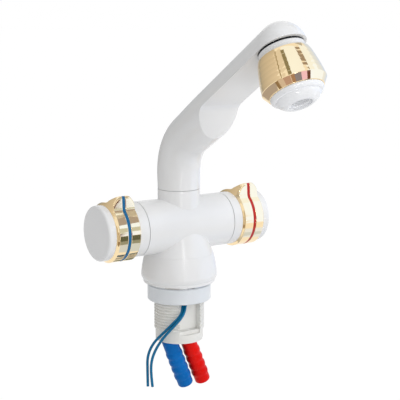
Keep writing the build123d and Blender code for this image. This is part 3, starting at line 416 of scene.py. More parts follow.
# A lighter copy of the white gloss for the nozzle and its screen: painted light that lifts the
# shade in their recess.
LIT_WHITE_NOZZLE = replace(WHITE_GLOSS, name="white_nozzle", light=(0.93, 0.94, 0.96),
                       dark=(0.92, 0.93, 0.95))
GOLD_HANDLE = TurnedMetal("gold_handle", (0.95, 0.76, 0.47), (0.93, 0.73, 0.44), (0.04, 0.08),
                          grain=(5200.0, 0.0005), edge_radius=0.12)
GOLD_CAP = replace(GOLD_HANDLE, name="gold_cap", edge_radius=0.1,
                   origin=tuple(HEAD_CENTRE), axis=tuple(ARM_DOWN))
MARKER_BLUE = Finish("marker_blue", (0.012, 0.15, 0.34), (0.01, 0.135, 0.31), (0.2, 0.3),
                     edge_radius=0.15, specular=0.25)
MARKER_RED = replace(MARKER_BLUE, name="marker_red", light=(0.52, 0.022, 0.012),
                     dark=(0.46, 0.016, 0.009))
# The tails' deep crease setting paints strong shade into the barbs.
TAIL_BLUE = Finish("tail_blue", (0.001, 0.15, 0.5), (0.0005, 0.12, 0.42), (0.34, 0.44),
                   grain=(1900.0, 0.016), crease=(4.0, 0.4), specular=0.12)
TAIL_RED = replace(TAIL_BLUE, name="tail_red", light=(0.82, 0.007, 0.003),
                   dark=(0.68, 0.004, 0.002))
CREAM_PLASTIC = Finish("cream_plastic", (0.84, 0.835, 0.805), (0.82, 0.81, 0.775), (0.38, 0.5),
                       grain=(1700.0, 0.014), edge_radius=0.2, crease=(1.0, 0.9))
PALE_PLASTIC = Finish("pale_plastic", (0.76, 0.79, 0.825), (0.74, 0.775, 0.81), (0.33, 0.42),
                      grain=(2000.0, 0.01), crease=(2.5, 0.95))
WHITE_SEAL = Finish("white_seal", (0.85, 0.853, 0.858), (0.83, 0.834, 0.842), (0.4, 0.5),
                    grain=(3000.0, 0.006), crease=(2.5, 0.97))
CORE_PLASTIC = Finish("core_plastic", (0.66, 0.67, 0.66), (0.62, 0.63, 0.62), (0.4, 0.55),
                      grain=(2400.0, 0.018))
BLACK_RUBBER = Finish("black_rubber", (0.006, 0.007, 0.01), (0.004, 0.005, 0.008), (0.38, 0.5),
                      grain=(3600.0, 0.015), specular=0.12)
STEEL = TurnedMetal("steel", (0.6, 0.61, 0.62), (0.53, 0.54, 0.55), (0.22, 0.34),
                    grain=(3000.0, 0.003), origin=(0.0, 0.0, 0.0), axis=(0.0, 0.0, 1.0),
                    worn=(0.75, 0.75, 0.76), wear=0.4)
BARE_BRASS = TurnedMetal("bare_brass", (0.74, 0.55, 0.27), (0.66, 0.47, 0.22), (0.2, 0.32),
                         grain=(3600.0, 0.004), worn=(0.86, 0.74, 0.46))
DISC_CERAMIC = Finish("disc_ceramic", (0.83, 0.82, 0.77), (0.8, 0.79, 0.74), (0.15, 0.22),
                      grain=(5000.0, 0.004), refraction=1.7)
BLACK_PLASTIC = Finish("black_plastic", (0.03, 0.03, 0.034), (0.022, 0.022, 0.026), (0.42, 0.55),
                       grain=(2600.0, 0.014))
WIRE_BLUE = Finish("wire_blue", (0.0, 0.155, 0.33), (0.0, 0.135, 0.29), (0.22, 0.32),
                   grain=(4200.0, 0.006), edge_radius=0.08, specular=0.22)


# Meshes


def put(name: str, data: bpy.types.ID) -> bpy.types.Object:
    """Add an object to the scene.

    Args:
        name: Its name.
        data: Its mesh, curve, lamp or camera.

    Returns:
        The new object.
    """
    made = bpy.data.objects.new(name, data)
    bpy.context.scene.collection.objects.link(made)
    return made


def circle(steps: int) -> list[float]:
    """Directions of a ring's points, in radians."""
    return [TURN * step / steps for step in range(steps)]


@dataclass
class Shell:
    """Points and faces of a mesh to be made."""

    points: list[Vector]
    faces: list[tuple[int, ...]]

    @classmethod
    def between(cls, rings: Sequence[Sequence[Vector]], closed: bool = True) -> "Shell":
        """Join rings of points with quads.

        Args:
            rings: The rings, all of one length.
            closed: Join the last ring to the first, or else cap both.

        Returns:
            The shell.
        """
        count, last = len(rings[0]), len(rings) - 1
        faces = []
        for index in range(last + closed):
            low, high = index * count, (index + 1) % len(rings) * count
            for step in range(count):
                after = (step + 1) % count
                faces.append((low + step, low + after, high + after, high + step))
        if not closed:
            faces += [tuple(range(row * count, (row + 1) * count)) for row in (0, last)]
        return cls([point for ring in rings for point in ring], faces)

    def mesh(self, name: str) -> bpy.types.Mesh:
        """Make the mesh, with its normals facing outwards.

        Args:
            name: The mesh's name.

        Returns:
            The new mesh.
        """
        mesh = bpy.data.meshes.new(name)
        mesh.from_pydata(self.points, [], self.faces)
        work = bmesh.new()
        work.from_mesh(mesh)
        bmesh.ops.recalc_face_normals(work, faces=work.faces)
        work.to_mesh(mesh)
        work.free()
        return mesh

    def piece(self, name: str, finish: Finish, body: str, slot: str, *nodes: str,
              sharp: float = 38.0) -> bpy.types.Object:
        """Make the mesh a piece that rides on a body and stands for CAD nodes.

        Args:
            name: The piece's name.
            finish: Its finish.
            body: The CAD body it rides on.
            slot: Name of the record's slot for its finish; not used.
            nodes: The CAD nodes it replaces.
            sharp: Angle in degrees from which an edge stays sharp.

        Returns:
            The new object.
        """
        mesh = self.mesh(name)
        mesh.shade_smooth()
        mesh.set_sharp_from_angle(angle=radians(sharp))
        mesh.materials.append(finish.material())
        made = put(name, mesh)
        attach(made, body)
        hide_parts(*nodes)
        log.info("%s: %d faces, for %s", name, len(self.faces), ", ".join(nodes))
        return made


@dataclass(frozen=True)
class Lathe:
    """Turns an outline of (radius, distance) millimetres about an axis."""

    origin: Vector
    along: Vector
    steps: int = 192

    def shell(self, outline: Sequence[Pair], closed: bool = True) -> Shell:
        """Turn an outline.

        Args:
            outline: Its corners in order.
            closed: Join its end to its start, or else cap both.

        Returns:
            The turned shell.
        """
        side = self.along.orthogonal().normalized()
        other = self.along.cross(side).normalized()
        rays = [side * cos(angle) + other * sin(angle) for angle in circle(self.steps)]
        return Shell.between([[self.origin + self.along * (distance * MM) + ray * (radius * MM)
                               for ray in rays] for radius, distance in outline], closed)


def arc_through(start: Pair, middle: Pair, end: Pair, steps: int) -> list[Pair]:
    """Divide the arc through three points, which is less than half a circle.

    Args:
        start: First point.
        middle: A point on the way.
        end: Last point.
        steps: Parts to divide it into.

    Returns:
        The points from the start on, without the end.
    """
    first, second, third = (complex(*point) for point in (start, middle, end))
    ratio = (third - first) / (second - first)
    centre = first + (second - first) * (ratio - abs(ratio) ** 2) / 2j / ratio.imag
    arm = first - centre
    whole = cmath.phase((third - centre) / arm)
    points = [centre + arm * cmath.exp(1j * whole * step / steps) for step in range(steps)]
    return [(point.real, point.imag) for point in points]


def softer(one: float, other: float, width: float, sign: int) -> float:
    """The smaller (sign -1) or larger (sign 1) of two lengths, rounded where they meet."""
    share = max(width - abs(one - other), 0.0) / width
    return (max if sign > 0 else min)(one, other) + sign * share * share * width / 4


def dress(finish: Finish, *names: str) -> None:
    """Give carried-over CAD nodes their finish through their objects' slots.

    Args:
        finish: The finish.
        names: The nodes, which keep their meshes.
    """
    for name in names:
        node = frame["nodes"].get(name)
        if node is None:
            log.warning("no node %s in this pack", name)
            continue
        for slot in node.material_slots:
            slot.link = "OBJECT"
            slot.material = finish.material()
        log.info("%s keeps its mesh, finish %s", name, finish.name)


# Sub-assemblies


@dataclass
class Wires:
    """The two free switch wires, which leave the groove under the nut and hang down."""

    diameter: float = 1.8 * MM
    lengths: Pair = (72.0 * MM, 70.7 * MM)
    outer: tuple[Triple, ...] = (
        (-4.5, -11.8, -10.0), (-5.2, -12.5, -14.9), (-9.0, -16.4, -18.9), (-14.1, -14.2, -24.3),
        (-18.9, -9.4, -31.3), (-22.0, -2.6, -38.8), (-23.3, 2.6, -48.6), (-22.2, 4.4, -59.4),
        (-21.7, 4.9, -70.3))
    inner: tuple[Triple, ...] = (
        (-2.4, -12.2, -10.0), (-3.8, -13.7, -14.9), (-8.9, -18.2, -19.2), (-13.9, -16.1, -25.0),
        (-18.6, -11.3, -32.6), (-20.9, -4.9, -41.5), (-22.2, -0.6, -51.0), (-21.2, 1.7, -61.0),
        (-20.1, 1.6, -70.0))

    def run(self, node: str, route: Sequence[Triple], length: float) -> None:
        """Args:
            node: The CAD node it replaces.
            route: Control points in millimetres.
            length: Its real length in metres.
        """
        curve = bpy.data.curves.new(node + "_sleeve", "CURVE")
        curve.dimensions = "3D"
        curve.bevel_depth = self.diameter / 2
        curve.bevel_resolution = 8
        curve.resolution_u = 24
        curve.use_fill_caps = True
        line = curve.splines.new("NURBS")
        line.points.add(len(route) - 1)
        for point, place in zip(line.points, route):
            point.co = (*(c * MM for c in place), 1.0)
        line.order_u = 3
        line.use_endpoint_u = True
        wire = put(node + "_sleeve", curve)
        curve.materials.append(WIRE_BLUE.material())
        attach(wire, "body")
        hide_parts(node)
        log.info("%s: free wire, %.0f mm", node, length / MM)

    def build(self) -> None:
        """Lay both wires and dress the leads inside the body."""
        self.run("outer_wire", self.outer, self.lengths[0])
        self.run("inner_wire", self.inner, self.lengths[1])
        dress(WIRE_BLUE, "cold_lead", "hot_lead", "switch_links")


@dataclass
class Handle:
    """One quarter-turn handle: turned sleeve, two lobed grip rings, marker, lid and spindle."""

    side: Side
    inner_x: float = 39.0
    outer_x: float = 56.3
    marker_x: float = 46.7
    marker_w: float = 2.1
    marker_inset: float = 0.1
    bore_r: float = 15.65
    ring_r: float = 19.1
    edge_r: float = 17.5
    crest: Pair = (-11.3, 25.1)
    back: Pair = (-0.75, 18.2)
    front: Pair = (-11.87, 13.5)
    lobe_r: float = 26.45
    lobe_foot: float = 3.2
    ring_chamfer: float = 1.2
    crown_chamfer: float = 4.05
    lip: float = 0.16
    lobe_reach: float = radians(50)
    crest_soft: float = 2.4
    foot_soft: float = 1.8
    crown_soft: float = 3.6
    edge_soft: float = 1.5
    row_gap: float = 0.35
    around: int = 288

    def flank(self, angle: float, foot: Pair) -> float:
        """Find how far from the axis a straight flank of the lobe is along a direction.

        Args:
            angle: Direction from +Y towards +Z, in radians.
            foot: Where the flank, which ends at the crest, begins.

        Returns:
            The distance in millimetres, or 0 behind the axis.
        """
        along_y, along_z = self.crest[0] - foot[0], self.crest[1] - foot[1]
        bottom = cos(angle) * along_z - sin(angle) * along_y
        if abs(bottom) < 1e-9:
            return 0.0
        return max((foot[0] * along_z - foot[1] * along_y) / bottom, 0.0)

    def outline(self, angle: float) -> float:
        """Find the radius of the ring with its thumb lobe in a direction.

        Args:
            angle: Direction from +Y towards +Z, in radians.

        Returns:
            The radius in millimetres.
        """
        crest = atan2(self.crest[1], self.crest[0])
        away = (angle - crest + pi) % TURN - pi
        if abs(away) > self.lobe_reach:
            return self.ring_r
        lobe = softer(self.flank(angle, self.back), self.flank(angle, self.front),
                      self.crest_soft, -1)
        return softer(self.ring_r, lobe, self.foot_soft, 1)

    def crown(self, x: float) -> float:
        """Find the largest radius that the grip has at a place along its width.

        Args:
            x: The place along X, in millimetres.

        Returns:
            The radius in millimetres.
        """
        inward = min(x - self.inner_x, self.outer_x - x)
        if inward <= self.ring_chamfer:
            return self.edge_r + (self.ring_r - self.edge_r) * inward / self.ring_chamfer
        foot = self.ring_r + self.lobe_foot
        slope = (self.lobe_r - foot) / (self.crown_chamfer - self.ring_chamfer)
        rise = slope * (inward - self.ring_chamfer)
        return softer(self.lobe_r, foot + rise, self.crown_soft, -1)

    def ring(self, start: float, end: float, inset: float) -> Shell:
        """Build a slice of the grip between two places along X.

        Args:
            start: End nearer the body, in millimetres.
            end: Farther end.
            inset: How far its outside stands back.

        Returns:
            The slice's shell.
        """
        span = end - start - 2 * self.lip
        count = max(3, round(span / self.row_gap))
        spots = [start, start + self.lip / 2,
                 *(start + self.lip + span * step / count for step in range(count + 1)),
                 end - self.lip / 2, end]
        angles = circle(self.around)
        rows = []
        for x in spots:
            edge = min(x - start, end - x) / self.lip
            back = self.lip * (1 - sqrt(1 - max(0.0, 1 - edge) ** 2))
            rows.append([self.point(x, angle, softer(
                self.outline(angle), self.crown(x), self.edge_soft, -1) - inset - back)
                for angle in angles])
        rows += [[self.point(x, angle, self.bore_r) for angle in angles] for x in (end, start)]
        return Shell.between(rows)

    def point(self, x: float, angle: float, radius: float) -> Vector:
        """A point by its place along X, its direction and its radius, in millimetres."""
        return Vector((self.side.value * x * MM, radius * cos(angle) * MM,
                       radius * sin(angle) * MM + BARREL_Z))

    def build(self) -> None:
        """Build the grip and marker and dress the rest."""
        name = self.side.name.lower()
        body = name + "_handle"
        marker_end = self.marker_x + self.marker_w
        marker = MARKER_BLUE if self.side is Side.COLD else MARKER_RED
        self.ring(self.inner_x, self.marker_x, 0.0).piece(
            name + "_inner_grip_ring", GOLD_HANDLE, body, "gold_plate", name + "_grip_inner")
        self.ring(marker_end, self.outer_x, 0.0).piece(
            name + "_outer_grip_ring", GOLD_HANDLE, body, "gold_plate", name + "_grip_outer")
        self.ring(self.marker_x, marker_end, self.marker_inset).piece(
            name + "_marker_band", marker, body, marker.name, name + "_marker_ring")
        for finish, pieces in (
                (WHITE_GLOSS, ("handle_sleeve", "end_cap")), (STEEL, ("handle_screw",)),
                (BARE_BRASS, ("spindle", "headwork")),
                (DISC_CERAMIC, ("turning_disc", "fixed_disc")),
                (BLACK_RUBBER, ("spindle_oring", "valve_seal")),
                (BLACK_PLASTIC, ("switch_cam", "microswitch", "switch_plunger"))):
            dress(finish, *(f"{name}_{piece}" for piece in pieces))


@dataclass
class SprayHead:
    """The twist spray head: ribbed plated cap, collar, nozzle, screen and flow insert."""

    collar_r: float = 13.6
    top: float = 5.0
    top_r: float = 15.2
    shoulder_r: float = 15.8
    rib_start: float = 6.8
    rib_end: float = 21.6
    rib_count: int = 5
    rib_rise: float = 0.06
    wide: float = 23.8
    wide_r: float = 18.8
    swell: float = 0.45
    edge: float = 0.15
    end: float = 27.9
    end_r: float = 16.0
    nozzle_gap_r: float = 13.85
    journal_gap_r: float = 10.05
    web: Pair = (9.2, 11.2)
    passing_gap: float = 0.2
    top_round: tuple[Pair, ...] = ((-0.3, 0.0), (-0.06, 0.1), (0.06, 0.34))
    end_round: tuple[Pair, ...] = ((0.12, -0.16), (-0.1, 0.0))
    rib_steps: int = 10
    rim_steps: int = 6
    around: int = 256

    def cap_radius(self, height: float) -> float:
        """Radius of the cap's swelling side at a height along the head."""
        share = (height - self.rib_start) / (self.wide - self.rib_start)
        return self.shoulder_r + (self.wide_r - self.shoulder_r) * (
            (1 + self.swell) * share - self.swell * share ** 2)

    def cap_outline(self) -> list[Pair]:
        """Draw the cap's section, with its ribs.

        Returns:
            Its corners in millimetres.
        """
        inner_r = self.collar_r + self.passing_gap
        outline = [(inner_r, self.top)]
        outline += [(self.top_r + r, self.top + z) for r, z in self.top_round]
        rib = (self.rib_end - self.rib_start) / self.rib_count
        for index in range(self.rib_count):
            low = self.rib_start + index * rib
            middle = low + rib / 2
            outline += arc_through(
                (self.cap_radius(low), low), (self.cap_radius(middle) + self.rib_rise, middle),
                (self.cap_radius(low + rib), low + rib), self.rib_steps)
        smooth = (self.wide - self.edge - self.rib_end) / self.rim_steps
        outline += [(self.cap_radius(z), z) for z in (
            self.rib_end + smooth * step for step in range(self.rim_steps + 1))]
        outline.append((self.wide_r - self.edge / 2, self.wide + self.edge))
        outline += [(self.end_r + r, self.end + z) for r, z in self.end_round]
        return outline + [
            (self.nozzle_gap_r, self.end), (self.nozzle_gap_r, self.web[1]),
            (self.journal_gap_r, self.web[1]), (self.journal_gap_r, self.web[0]),
            (inner_r, self.web[0])]

    def build(self) -> None:
        """Build the cap and dress the rest."""
        Lathe(HEAD_CENTRE, ARM_DOWN, self.around).shell(self.cap_outline()).piece(
            "ribbed_cap", GOLD_CAP, "spray_head", "gold_plate", "head_cap", sharp=8.0)
        # The nozzle and screen take the lighter copy: painted light against the shade in their
        # recess.
        dress(LIT_WHITE_NOZZLE, "nozzle", "mesh_screen")
        dress(WHITE_GLOSS, "flow_insert")


@dataclass
class Spout:
    """The cranked arm with its seals, clip and head collar."""

    def build(self) -> None:
        """Dress the pieces that ride on the spout."""
        dress(WHITE_GLOSS, "spout_arm", "head_collar")
        dress(BLACK_RUBBER, "head_seal", "spout_orings")
        dress(STEEL, "spout_circlip")


@dataclass
class Shank:
    """The threaded shank below the deck, with its groove, channel and supply bores."""

    thread_r: float = 16.5
    thread_depth: float = 1.0
    pitch: float = 2.0
    thread_top: float = 0.8
    turns: int = 16
    crest: float = 0.3
    root: Pair = (0.55, 0.75)
    run_in: float = 0.5
    run_out: float = 0.6
    collar_r: float = 15.7
    collar_edge: float = 0.35
    bottom: float = -39.2
    top: float = 22.3
    channel: Triple = (24.0, 15.0, -22.0)
    groove_x: Pair = (-8.6, 6.9)
    groove_floor: float = -9.8
    groove_top: float = 8.0
    flat: Pair = (-13.4, 2.4)
    window_x: Pair = (-5.6, 0.6)
    window_z: float = -3.0
    bore_r: float = 5.6
    bore_mouth: float = 2.0
    tail_x: Pair = (-7.8, 6.0)
    past: float = 3.0
    overlap: float = 0.1
    around: int = 144
    bore_around: int = 72
    rows_to_pitch: int = 10
    sharp: float = 30.0

    def thread_end(self) -> float:
        """Height at which the thread runs out."""
        return self.thread_top - self.turns * self.pitch

    def radius(self, angle: float, z: float) -> float:
        """Find the outside radius of the helical thread at a place.

        Args:
            angle: Direction about the axis, in radians.
            z: Height in millimetres.

        Returns:
            The radius in millimetres.
        """
        phase = ((self.thread_top - z) / self.pitch + angle / TURN) % 1.0
        falling = (phase - self.crest) / (self.root[0] - self.crest)
        rising = (1.0 - phase) / (1.0 - self.root[1])
        depth = max(0.0, min(1.0, falling, rising))
        leaving = min(1.0, (z - self.thread_end()) / (self.run_out * self.pitch))
        entering = min(1.0, (self.thread_top - z) / (self.run_in * self.pitch))
        return self.thread_r - self.thread_depth * depth * entering * leaving

    def blank(self) -> Shell:
        """Build the shank before anything is cut from it.

        Returns:
            Its shell.
        """
        count = self.turns * self.rows_to_pitch
        edge = self.collar_edge
        rings = [self.ring(self.top, self.thread_r)]
        rings += [self.ring(self.thread_top - self.turns * self.pitch * step / count)
                  for step in range(count + 1)]
        rings += [self.ring(z, radius) for radius, z in (
            (self.collar_r, self.thread_end() - 0.02), (self.collar_r, self.bottom + edge),
            (self.collar_r - 0.3 * edge, self.bottom + 0.3 * edge),
            (self.collar_r - edge, self.bottom))]
        return Shell.between(rings, closed=False)

    def ring(self, z: float, radius: float = 0.0) -> list[Vector]:
        """A ring of points at a height, on the thread if no radius is given."""
        spots = [(angle, radius or self.radius(angle, z)) for angle in circle(self.around)]
        return [Vector((r * cos(angle), r * sin(angle), z)) * MM for angle, r in spots]

    def box(self, x: Pair, y: Pair, z: Pair) -> Shell:
        """A closed block that is cut away."""
        return Shell([Vector((i, j, k)) * MM for k in z for j in y for i in x], [
            (0, 2, 3, 1), (4, 5, 7, 6), (0, 1, 5, 4), (2, 6, 7, 3), (0, 4, 6, 2), (1, 3, 7, 5)])

    def cuts(self) -> list[Shell]:
        """Build every shape that is cut from the blank.

        Returns:
            Their shells.
        """
        far = self.thread_r + self.past
        half_x, half_y = self.channel[0] / 2, self.channel[1] / 2
        end, wide, over = self.thread_end(), self.bore_r + self.bore_mouth, self.overlap
        bore = ((wide + 0.5, self.bottom - 0.5), (self.bore_r, self.bottom + self.bore_mouth),
                (self.bore_r, self.channel[2] + over))
        return [
            self.box((-half_x, half_x), (-half_y, half_y), (self.channel[2], self.top + 1)),
            self.box(self.groove_x, (-far, self.groove_floor), (end, self.groove_top)),
            self.box(self.groove_x, (-far, self.flat[0]), (end - self.flat[1], end + 0.01)),
            self.box(self.window_x, (self.groove_floor - over, -half_y + over),
                     (self.window_z, self.groove_top)),
            *(Lathe(Vector((x, 0.0, 0.0)) * MM, UP, self.bore_around).shell(bore, closed=False)
              for x in self.tail_x)]

    def build(self) -> None:
        """Cut the shank and dress the pieces round it."""
        blank = self.blank().piece("helical_shank", CREAM_PLASTIC, "body", "cream_plastic",
                                   "threaded_shank", sharp=self.sharp)
        cutters = [put("cut", shell.mesh("cut")) for shell in self.cuts()]
        for cutter in cutters:
            cut = blank.modifiers.new(cutter.name, "BOOLEAN")
            cut.object, cut.operation, cut.solver = cutter, "DIFFERENCE", "EXACT"
        graph = bpy.context.evaluated_depsgraph_get()
        cut_mesh = bpy.data.meshes.new_from_object(blank.evaluated_get(graph))
        blank.modifiers.clear()
        blank.data = cut_mesh
        for cutter in cutters:
            bpy.data.objects.remove(cutter)
        cut_mesh.set_sharp_from_angle(angle=radians(self.sharp))
        log.info("helical_shank cut to %d faces", len(cut_mesh.polygons))
        dress(BARE_BRASS, "clamp_ring")
        dress(PALE_PLASTIC, "fixing_nut")
        dress(STEEL, "slip_washer")


@dataclass
class TapBody:
    """The body, the bell under it, the deck seal and what is cast inside."""

    seal_r: float = 23.4
    seal_bore_r: float = 17.0
    seal_recess: Pair = (21.0, 0.5)
    lip_r: float = 19.55
    lip_z: Pair = (0.8, 2.8)
    skirt_rim_r: float = 21.6
    roll_top: Pair = (23.5, 1.9)
    roll_foot: float = 0.12
    roll_swell: float = 0.09
    roll_inside: Pair = (0.2, 0.1)
    rim_gap: float = 0.05

    def seal_outline(self) -> list[Pair]:
        """Draw the seal's section, whose edge rolls up against the skirt.

        Returns:
            Its corners in millimetres.
        """
        top_r, top_z = self.roll_top
        recess_r, recess_z = self.seal_recess
        roll = arc_through((self.seal_r, self.roll_foot),
                           (self.seal_r + self.roll_swell, 0.5 * top_z), (top_r, top_z), steps=8)
        return [(self.seal_bore_r, recess_z), (recess_r, recess_z), (recess_r, 0.0),
                (self.seal_r - self.roll_foot, 0.0), *roll, (top_r, top_z),
                (top_r - self.roll_inside[0], top_z - self.roll_inside[1]),
                (self.skirt_rim_r, self.lip_z[0] + self.rim_gap), (self.lip_r, self.lip_z[0]),
                (self.lip_r, self.lip_z[1]), (self.seal_bore_r, self.lip_z[1])]

    def build(self) -> None:
        """Build the seal and dress the body's own pieces."""
        Lathe(Vector(), UP).shell(self.seal_outline()).piece(
            "rolled_deck_seal", WHITE_SEAL, "body", "white_seal", "deck_seal")
        dress(WHITE_GLOSS, "tap_body", "base_skirt", "spout_socket")
        dress(CORE_PLASTIC, "mixing_core")


@dataclass
class HoseTails:
    """The barbed tails, blue and red, with the riser tubes and seals above them."""

    def build(self) -> None:
        """Dress the tails and what they join."""
        dress(TAIL_BLUE, "cold_hose_tail")
        dress(TAIL_RED, "hot_hose_tail")
        dress(STEEL, "cold_riser_tube", "hot_riser_tube")
        dress(BLACK_RUBBER, "tail_orings")


# Studio


def outward(azimuth: float, elevation: float) -> Vector:
    """Unit direction of an azimuth, 0 along -Y and 90 along +X, and an elevation, in degrees."""
    round_, rise = radians(azimuth), radians(elevation)
    return Vector((sin(round_) * cos(rise), -cos(round_) * cos(rise),
                   sin(rise)))


@dataclass(frozen=True)
class SoftLamp:
    """A soft lamp, placed by its direction from the middle of the tap."""

    name: str
    azimuth: float
    elevation: float
    power: float
    size: Pair = (1.3, 1.3)
    distance: float = 1.6


@dataclass(frozen=True)
class Card:
    """A card that only glossy rays meet, placed and sized in degrees as one spot sees it."""

    name: str
    azimuth: float
    elevation: float
    size: Pair
    colour: Triple
    distance: float
    roll: float = 0.0
    fade: Triple | None = None


CAP_SPOT = (-0.006, -0.127, 0.145)
GRIP_SPOT = (-0.048, -0.019, 0.038)
HOT_SPOT = (0.048, -0.019, 0.038)
MIDDLE = (0.0, -0.03, 0.05)
STREAK = (14.0, 14.0, 14.0)
CARDS: dict[Triple, tuple[Card, ...]] = {
    CAP_SPOT: (
        Card("overhead", -30, 72, (46, 44), (1.04, 1.18, 1.42), 2.2),
        Card("brown_top", 54, 63.5, (14, 15), (0.4, 0.34, 0.3), 1.2, 36),
        Card("dark_top", -75, 59, (26, 11), (0.29, 0.27, 0.18), 1.6, -50),
        Card("thin", -104, 41, (34, 3.5), (0.4, 0.34, 0.24), 1.7, -44),
        Card("pale_left", -100, 52, (24, 28), (0.82, 0.79, 0.76), 1.9),
        Card("left", -144, 20, (74, 64), (0.8, 0.75, 0.7), 2.0, fade=(0.44, 0.42, 0.38)),
        Card("back", 172, 0, (26, 30), (0.41, 0.42, 0.42), 1.7),
        Card("side", 72, 47, (44, 26), (1.02, 1.18, 1.45), 1.9),
        Card("side_right", 108, 8, (44, 58), (0.66, 0.82, 1.15), 1.8, fade=(0.95, 1.1, 1.4)),
        Card("floor_left", -135, -43, (70, 22), (0.46, 0.43, 0.46), 0.08),
        Card("bevel_line", -77, -40.5, (10, 12), (0.3, 0.22, 0.14), 0.5),
        Card("bevel_pale", -60.5, -35, (14, 12), (0.68, 0.6, 0.58), 0.5),
        Card("bevel_warm", -42, -27.5, (20, 12), (0.53, 0.38, 0.36), 0.5),
        Card("bevel_brown", -24.5, -20.5, (10.5, 12), (0.42, 0.27, 0.19), 0.55),
        Card("bevel_grey", -9, -15, (19, 12), (0.28, 0.29, 0.42), 0.85),
        Card("bevel_rose", 9, -11, (18, 12), (0.97, 0.68, 1.06), 0.9),
        Card("bevel_dark", 24, -9, (11, 12), (0.16, 0.07, 0.06), 1.4),
        Card("bevel_white", 45, -7, (30, 14), (1.03, 1.26, 1.8), 1.1),
    ),
    MIDDLE: (
        Card("streak", -17, 18.5, (4, 24), STREAK, 0.45),
        Card("streak_low", -17, -15, (4, 12), STREAK, 0.45),
    ),
    GRIP_SPOT: (
        Card("grip_top", 63, 56.5, (16, 8), (0.55, 0.56, 0.58), 0.25),
        Card("grip_key", 38, 32, (24, 28), (1.0, 1.25, 1.75), 1.4),
        Card("grip_pale", 29, 8.5, (11, 20), (0.64, 0.72, 0.74), 2.5),
        Card("grip_dark", 30, -17, (12, 17), (0.13, 0.15, 0.11), 0.5),
        Card("grip_mid", 36, -31.5, (12, 12), (0.33, 0.37, 0.35), 0.5),
        Card("grip_low", 58, -49, (34, 22), (0.7, 0.84, 1.1), 0.36),
        Card("grip_foot", 101, -60.5, (9, 8), (0.2, 0.22, 0.28), 0.3),
        Card("grip_under", 122, -54, (17, 12), (0.46, 0.47, 0.46), 0.32),
        Card("grip_behind", 141, -39, (9, 16), (0.18, 0.21, 0.17), 0.3),
        Card("grip_edge", -72, -8, (20, 50), (0.6, 0.53, 0.42), 0.6),
        Card("grip_rim", -50, -14, (14, 36), (0.36, 0.25, 0.12), 0.6),
    ),
    HOT_SPOT: (
        Card("hot_white", 58, 5, (44, 84), (1.03, 1.26, 1.75), 1.0),
        Card("hot_low", 68, -48, (44, 20), (0.88, 1.04, 1.4), 0.34),
    ),
}


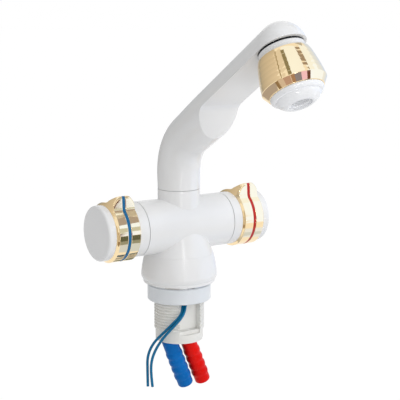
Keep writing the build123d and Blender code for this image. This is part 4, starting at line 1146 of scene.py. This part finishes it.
@dataclass
class Studio:
    """The camera, the pale floor, the plain light and the cards round the tap."""

    place: Triple = (-0.37186, -0.57701, 0.17054)
    turn: Triple = (80.31, 0.0, -33.95)
    lens: float = 96.377
    clip: Pair = (0.02, 40.0)
    floor_z: float = -0.30
    floor_r: float = 60.0
    floor_steps: int = 96
    floor_colour: Colour = (0.8, 0.8, 0.8, 1.0)
    floor_gloss: float = 0.7
    white_share: float = 0.93
    white: float = 1.05
    sky: float = 0.34
    lamps: tuple[SoftLamp, ...] = (
        SoftLamp("key_panel", 29, 33, 8.7),
        SoftLamp("top_panel", -34, 82, 6.7),
        SoftLamp("front_fill", -34, 14, 2.6, (1.0, 1.0)),
        SoftLamp("right_fill", 80, 15, 2.8),
        SoftLamp("left_fill", -110, 25, 3.4),
        SoftLamp("low_bounce", 0, -9, 3.6, (1.2, 0.3), 1.4),
    )

    def camera(self) -> None:
        """Set up the camera."""
        data = bpy.data.cameras.new("photo_camera")
        data.lens = self.lens
        data.clip_start, data.clip_end = self.clip
        made = put("photo_camera", data)
        made.location = self.place
        made.rotation_euler = [radians(angle) for angle in self.turn]
        bpy.context.scene.camera = made

    def seen(self, graph: Graph) -> Socket:
        """1 for rays that show the background: camera, glossy and transmission rays."""
        path = graph.add("ShaderNodeLightPath").outputs
        return graph.math("MAXIMUM", path["Is Camera Ray"], graph.math(
            "MAXIMUM", path["Is Glossy Ray"], path["Is Transmission Ray"]))

    def world(self) -> None:
        """A white world for what is seen, and a plain level for what it lights."""
        bpy.context.scene.world = world = bpy.data.worlds.new("studio_world")
        world.use_nodes = True
        graph = Graph(world.node_tree)
        level, white = (graph.add("ShaderNodeBackground", {"Color": WHITE, "Strength": strength})
                        for strength in (self.sky, 1.0))
        mix = graph.add("ShaderNodeMixShader", {0: self.seen(graph), 1: level.outputs[0],
                                                2: white.outputs[0]})
        graph.add("ShaderNodeOutputWorld", {"Surface": mix.outputs[0]})

    def flat(self, name: str, corners: Sequence[Triple]) -> tuple[bpy.types.Object, Graph]:
        """Make a flat thing that isn't sampled as a lamp.

        Args:
            name: Its name.
            corners: Its corners in metres.

        Returns:
            The object and the empty graph of its material.
        """
        mesh = bpy.data.meshes.new(name)
        mesh.from_pydata(corners, [], [tuple(range(len(corners)))])
        material, graph = new_material(name)
        material.cycles.emission_sampling = "NONE"
        mesh.materials.append(material)
        return put(name, mesh), graph

    def floor(self) -> None:
        """A pale disc well below the tap, white where it is only seen."""
        made, graph = self.flat("pale_floor", [
            (self.floor_r * cos(angle), self.floor_r * sin(angle), self.floor_z)
            for angle in circle(self.floor_steps)])
        shader = graph.add("ShaderNodeBsdfPrincipled", {
            "Base Color": self.floor_colour, "Roughness": self.floor_gloss})
        white = graph.add("ShaderNodeEmission", {"Color": WHITE, "Strength": self.white})
        share = graph.math("MULTIPLY", self.seen(graph), self.white_share)
        mix = graph.add("ShaderNodeMixShader", {0: share, 1: shader.outputs[0],
                                                2: white.outputs[0]})
        graph.add("ShaderNodeOutputMaterial", {"Surface": mix.outputs[0]})

    def lamp(self, lamp: SoftLamp) -> None:
        """Hang one soft lamp, facing the tap.

        Args:
            lamp: The lamp.
        """
        data = bpy.data.lights.new(lamp.name, "AREA")
        data.shape = "RECTANGLE"
        data.size, data.size_y = lamp.size
        data.energy = lamp.power
        made = put(lamp.name, data)
        out = outward(lamp.azimuth, lamp.elevation)
        made.location = Vector(MIDDLE) + out * lamp.distance
        made.rotation_euler = out.to_track_quat("Z", "Y").to_euler()
        made.visible_camera = made.visible_glossy = False

    def card(self, spot: Triple, card: Card) -> None:
        """Stand one card where only glossy rays meet it.

        Args:
            spot: The place that its direction and size are seen from.
            card: The card.
        """
        half_w, half_h = (card.distance * tan(radians(angle / 2))
                          for angle in card.size)
        made, graph = self.flat("card_" + card.name, [
            (x * half_w, y * half_h, 0.0) for x, y in ((-1, -1), (1, -1), (1, 1), (-1, 1))])
        out = outward(card.azimuth, card.elevation)
        made.location = Vector(spot) + out * card.distance
        turned = Quaternion(UP, radians(card.roll))
        made.rotation_euler = (out.to_track_quat("Z", "Y") @ turned).to_euler()
        made.visible_camera = made.visible_diffuse = made.visible_shadow = False
        made.visible_transmission = False
        across = graph.add("ShaderNodeSeparateXYZ", {0: graph.place()}).outputs[0]
        blend = graph.mix(graph.spread(across, (-half_w, half_w)),
                          (*(card.fade or card.colour), 1.0), (*card.colour, 1.0))
        shade = graph.add("ShaderNodeEmission", {"Color": blend})
        graph.add("ShaderNodeOutputMaterial", {"Surface": shade.outputs[0]})

    def build(self) -> None:
        """Set up everything round the tap."""
        self.camera()
        self.world()
        self.floor()
        for lamp in self.lamps:
            self.lamp(lamp)
        for spot, cards in CARDS.items():
            for card in cards:
                self.card(spot, card)
        bpy.context.scene.view_settings.view_transform = "Standard"
        log.info("studio: %d lamps, %d cards", len(self.lamps), sum(map(len, CARDS.values())))


def clear_startup() -> None:
    """Remove what the scene held before the frame was loaded."""
    ours = {o.name for group in ("nodes", "bodies") for o in frame[group].values()}
    for other in [o for o in bpy.data.objects if o.name not in ours]:
        bpy.data.objects.remove(other)


def main() -> None:
    """Build every sub-assembly in order."""
    logging.basicConfig(level=logging.INFO, format="%(name)s: %(message)s")
    clear_startup()
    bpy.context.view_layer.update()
    for part in (Studio(), Wires(), TapBody(), Shank(), HoseTails(), Handle(Side.COLD),
                 Handle(Side.HOT), Spout(), SprayHead()):
        log.info("building %s", type(part).__name__)
        part.build()


if __name__ == "__main__":
    main()
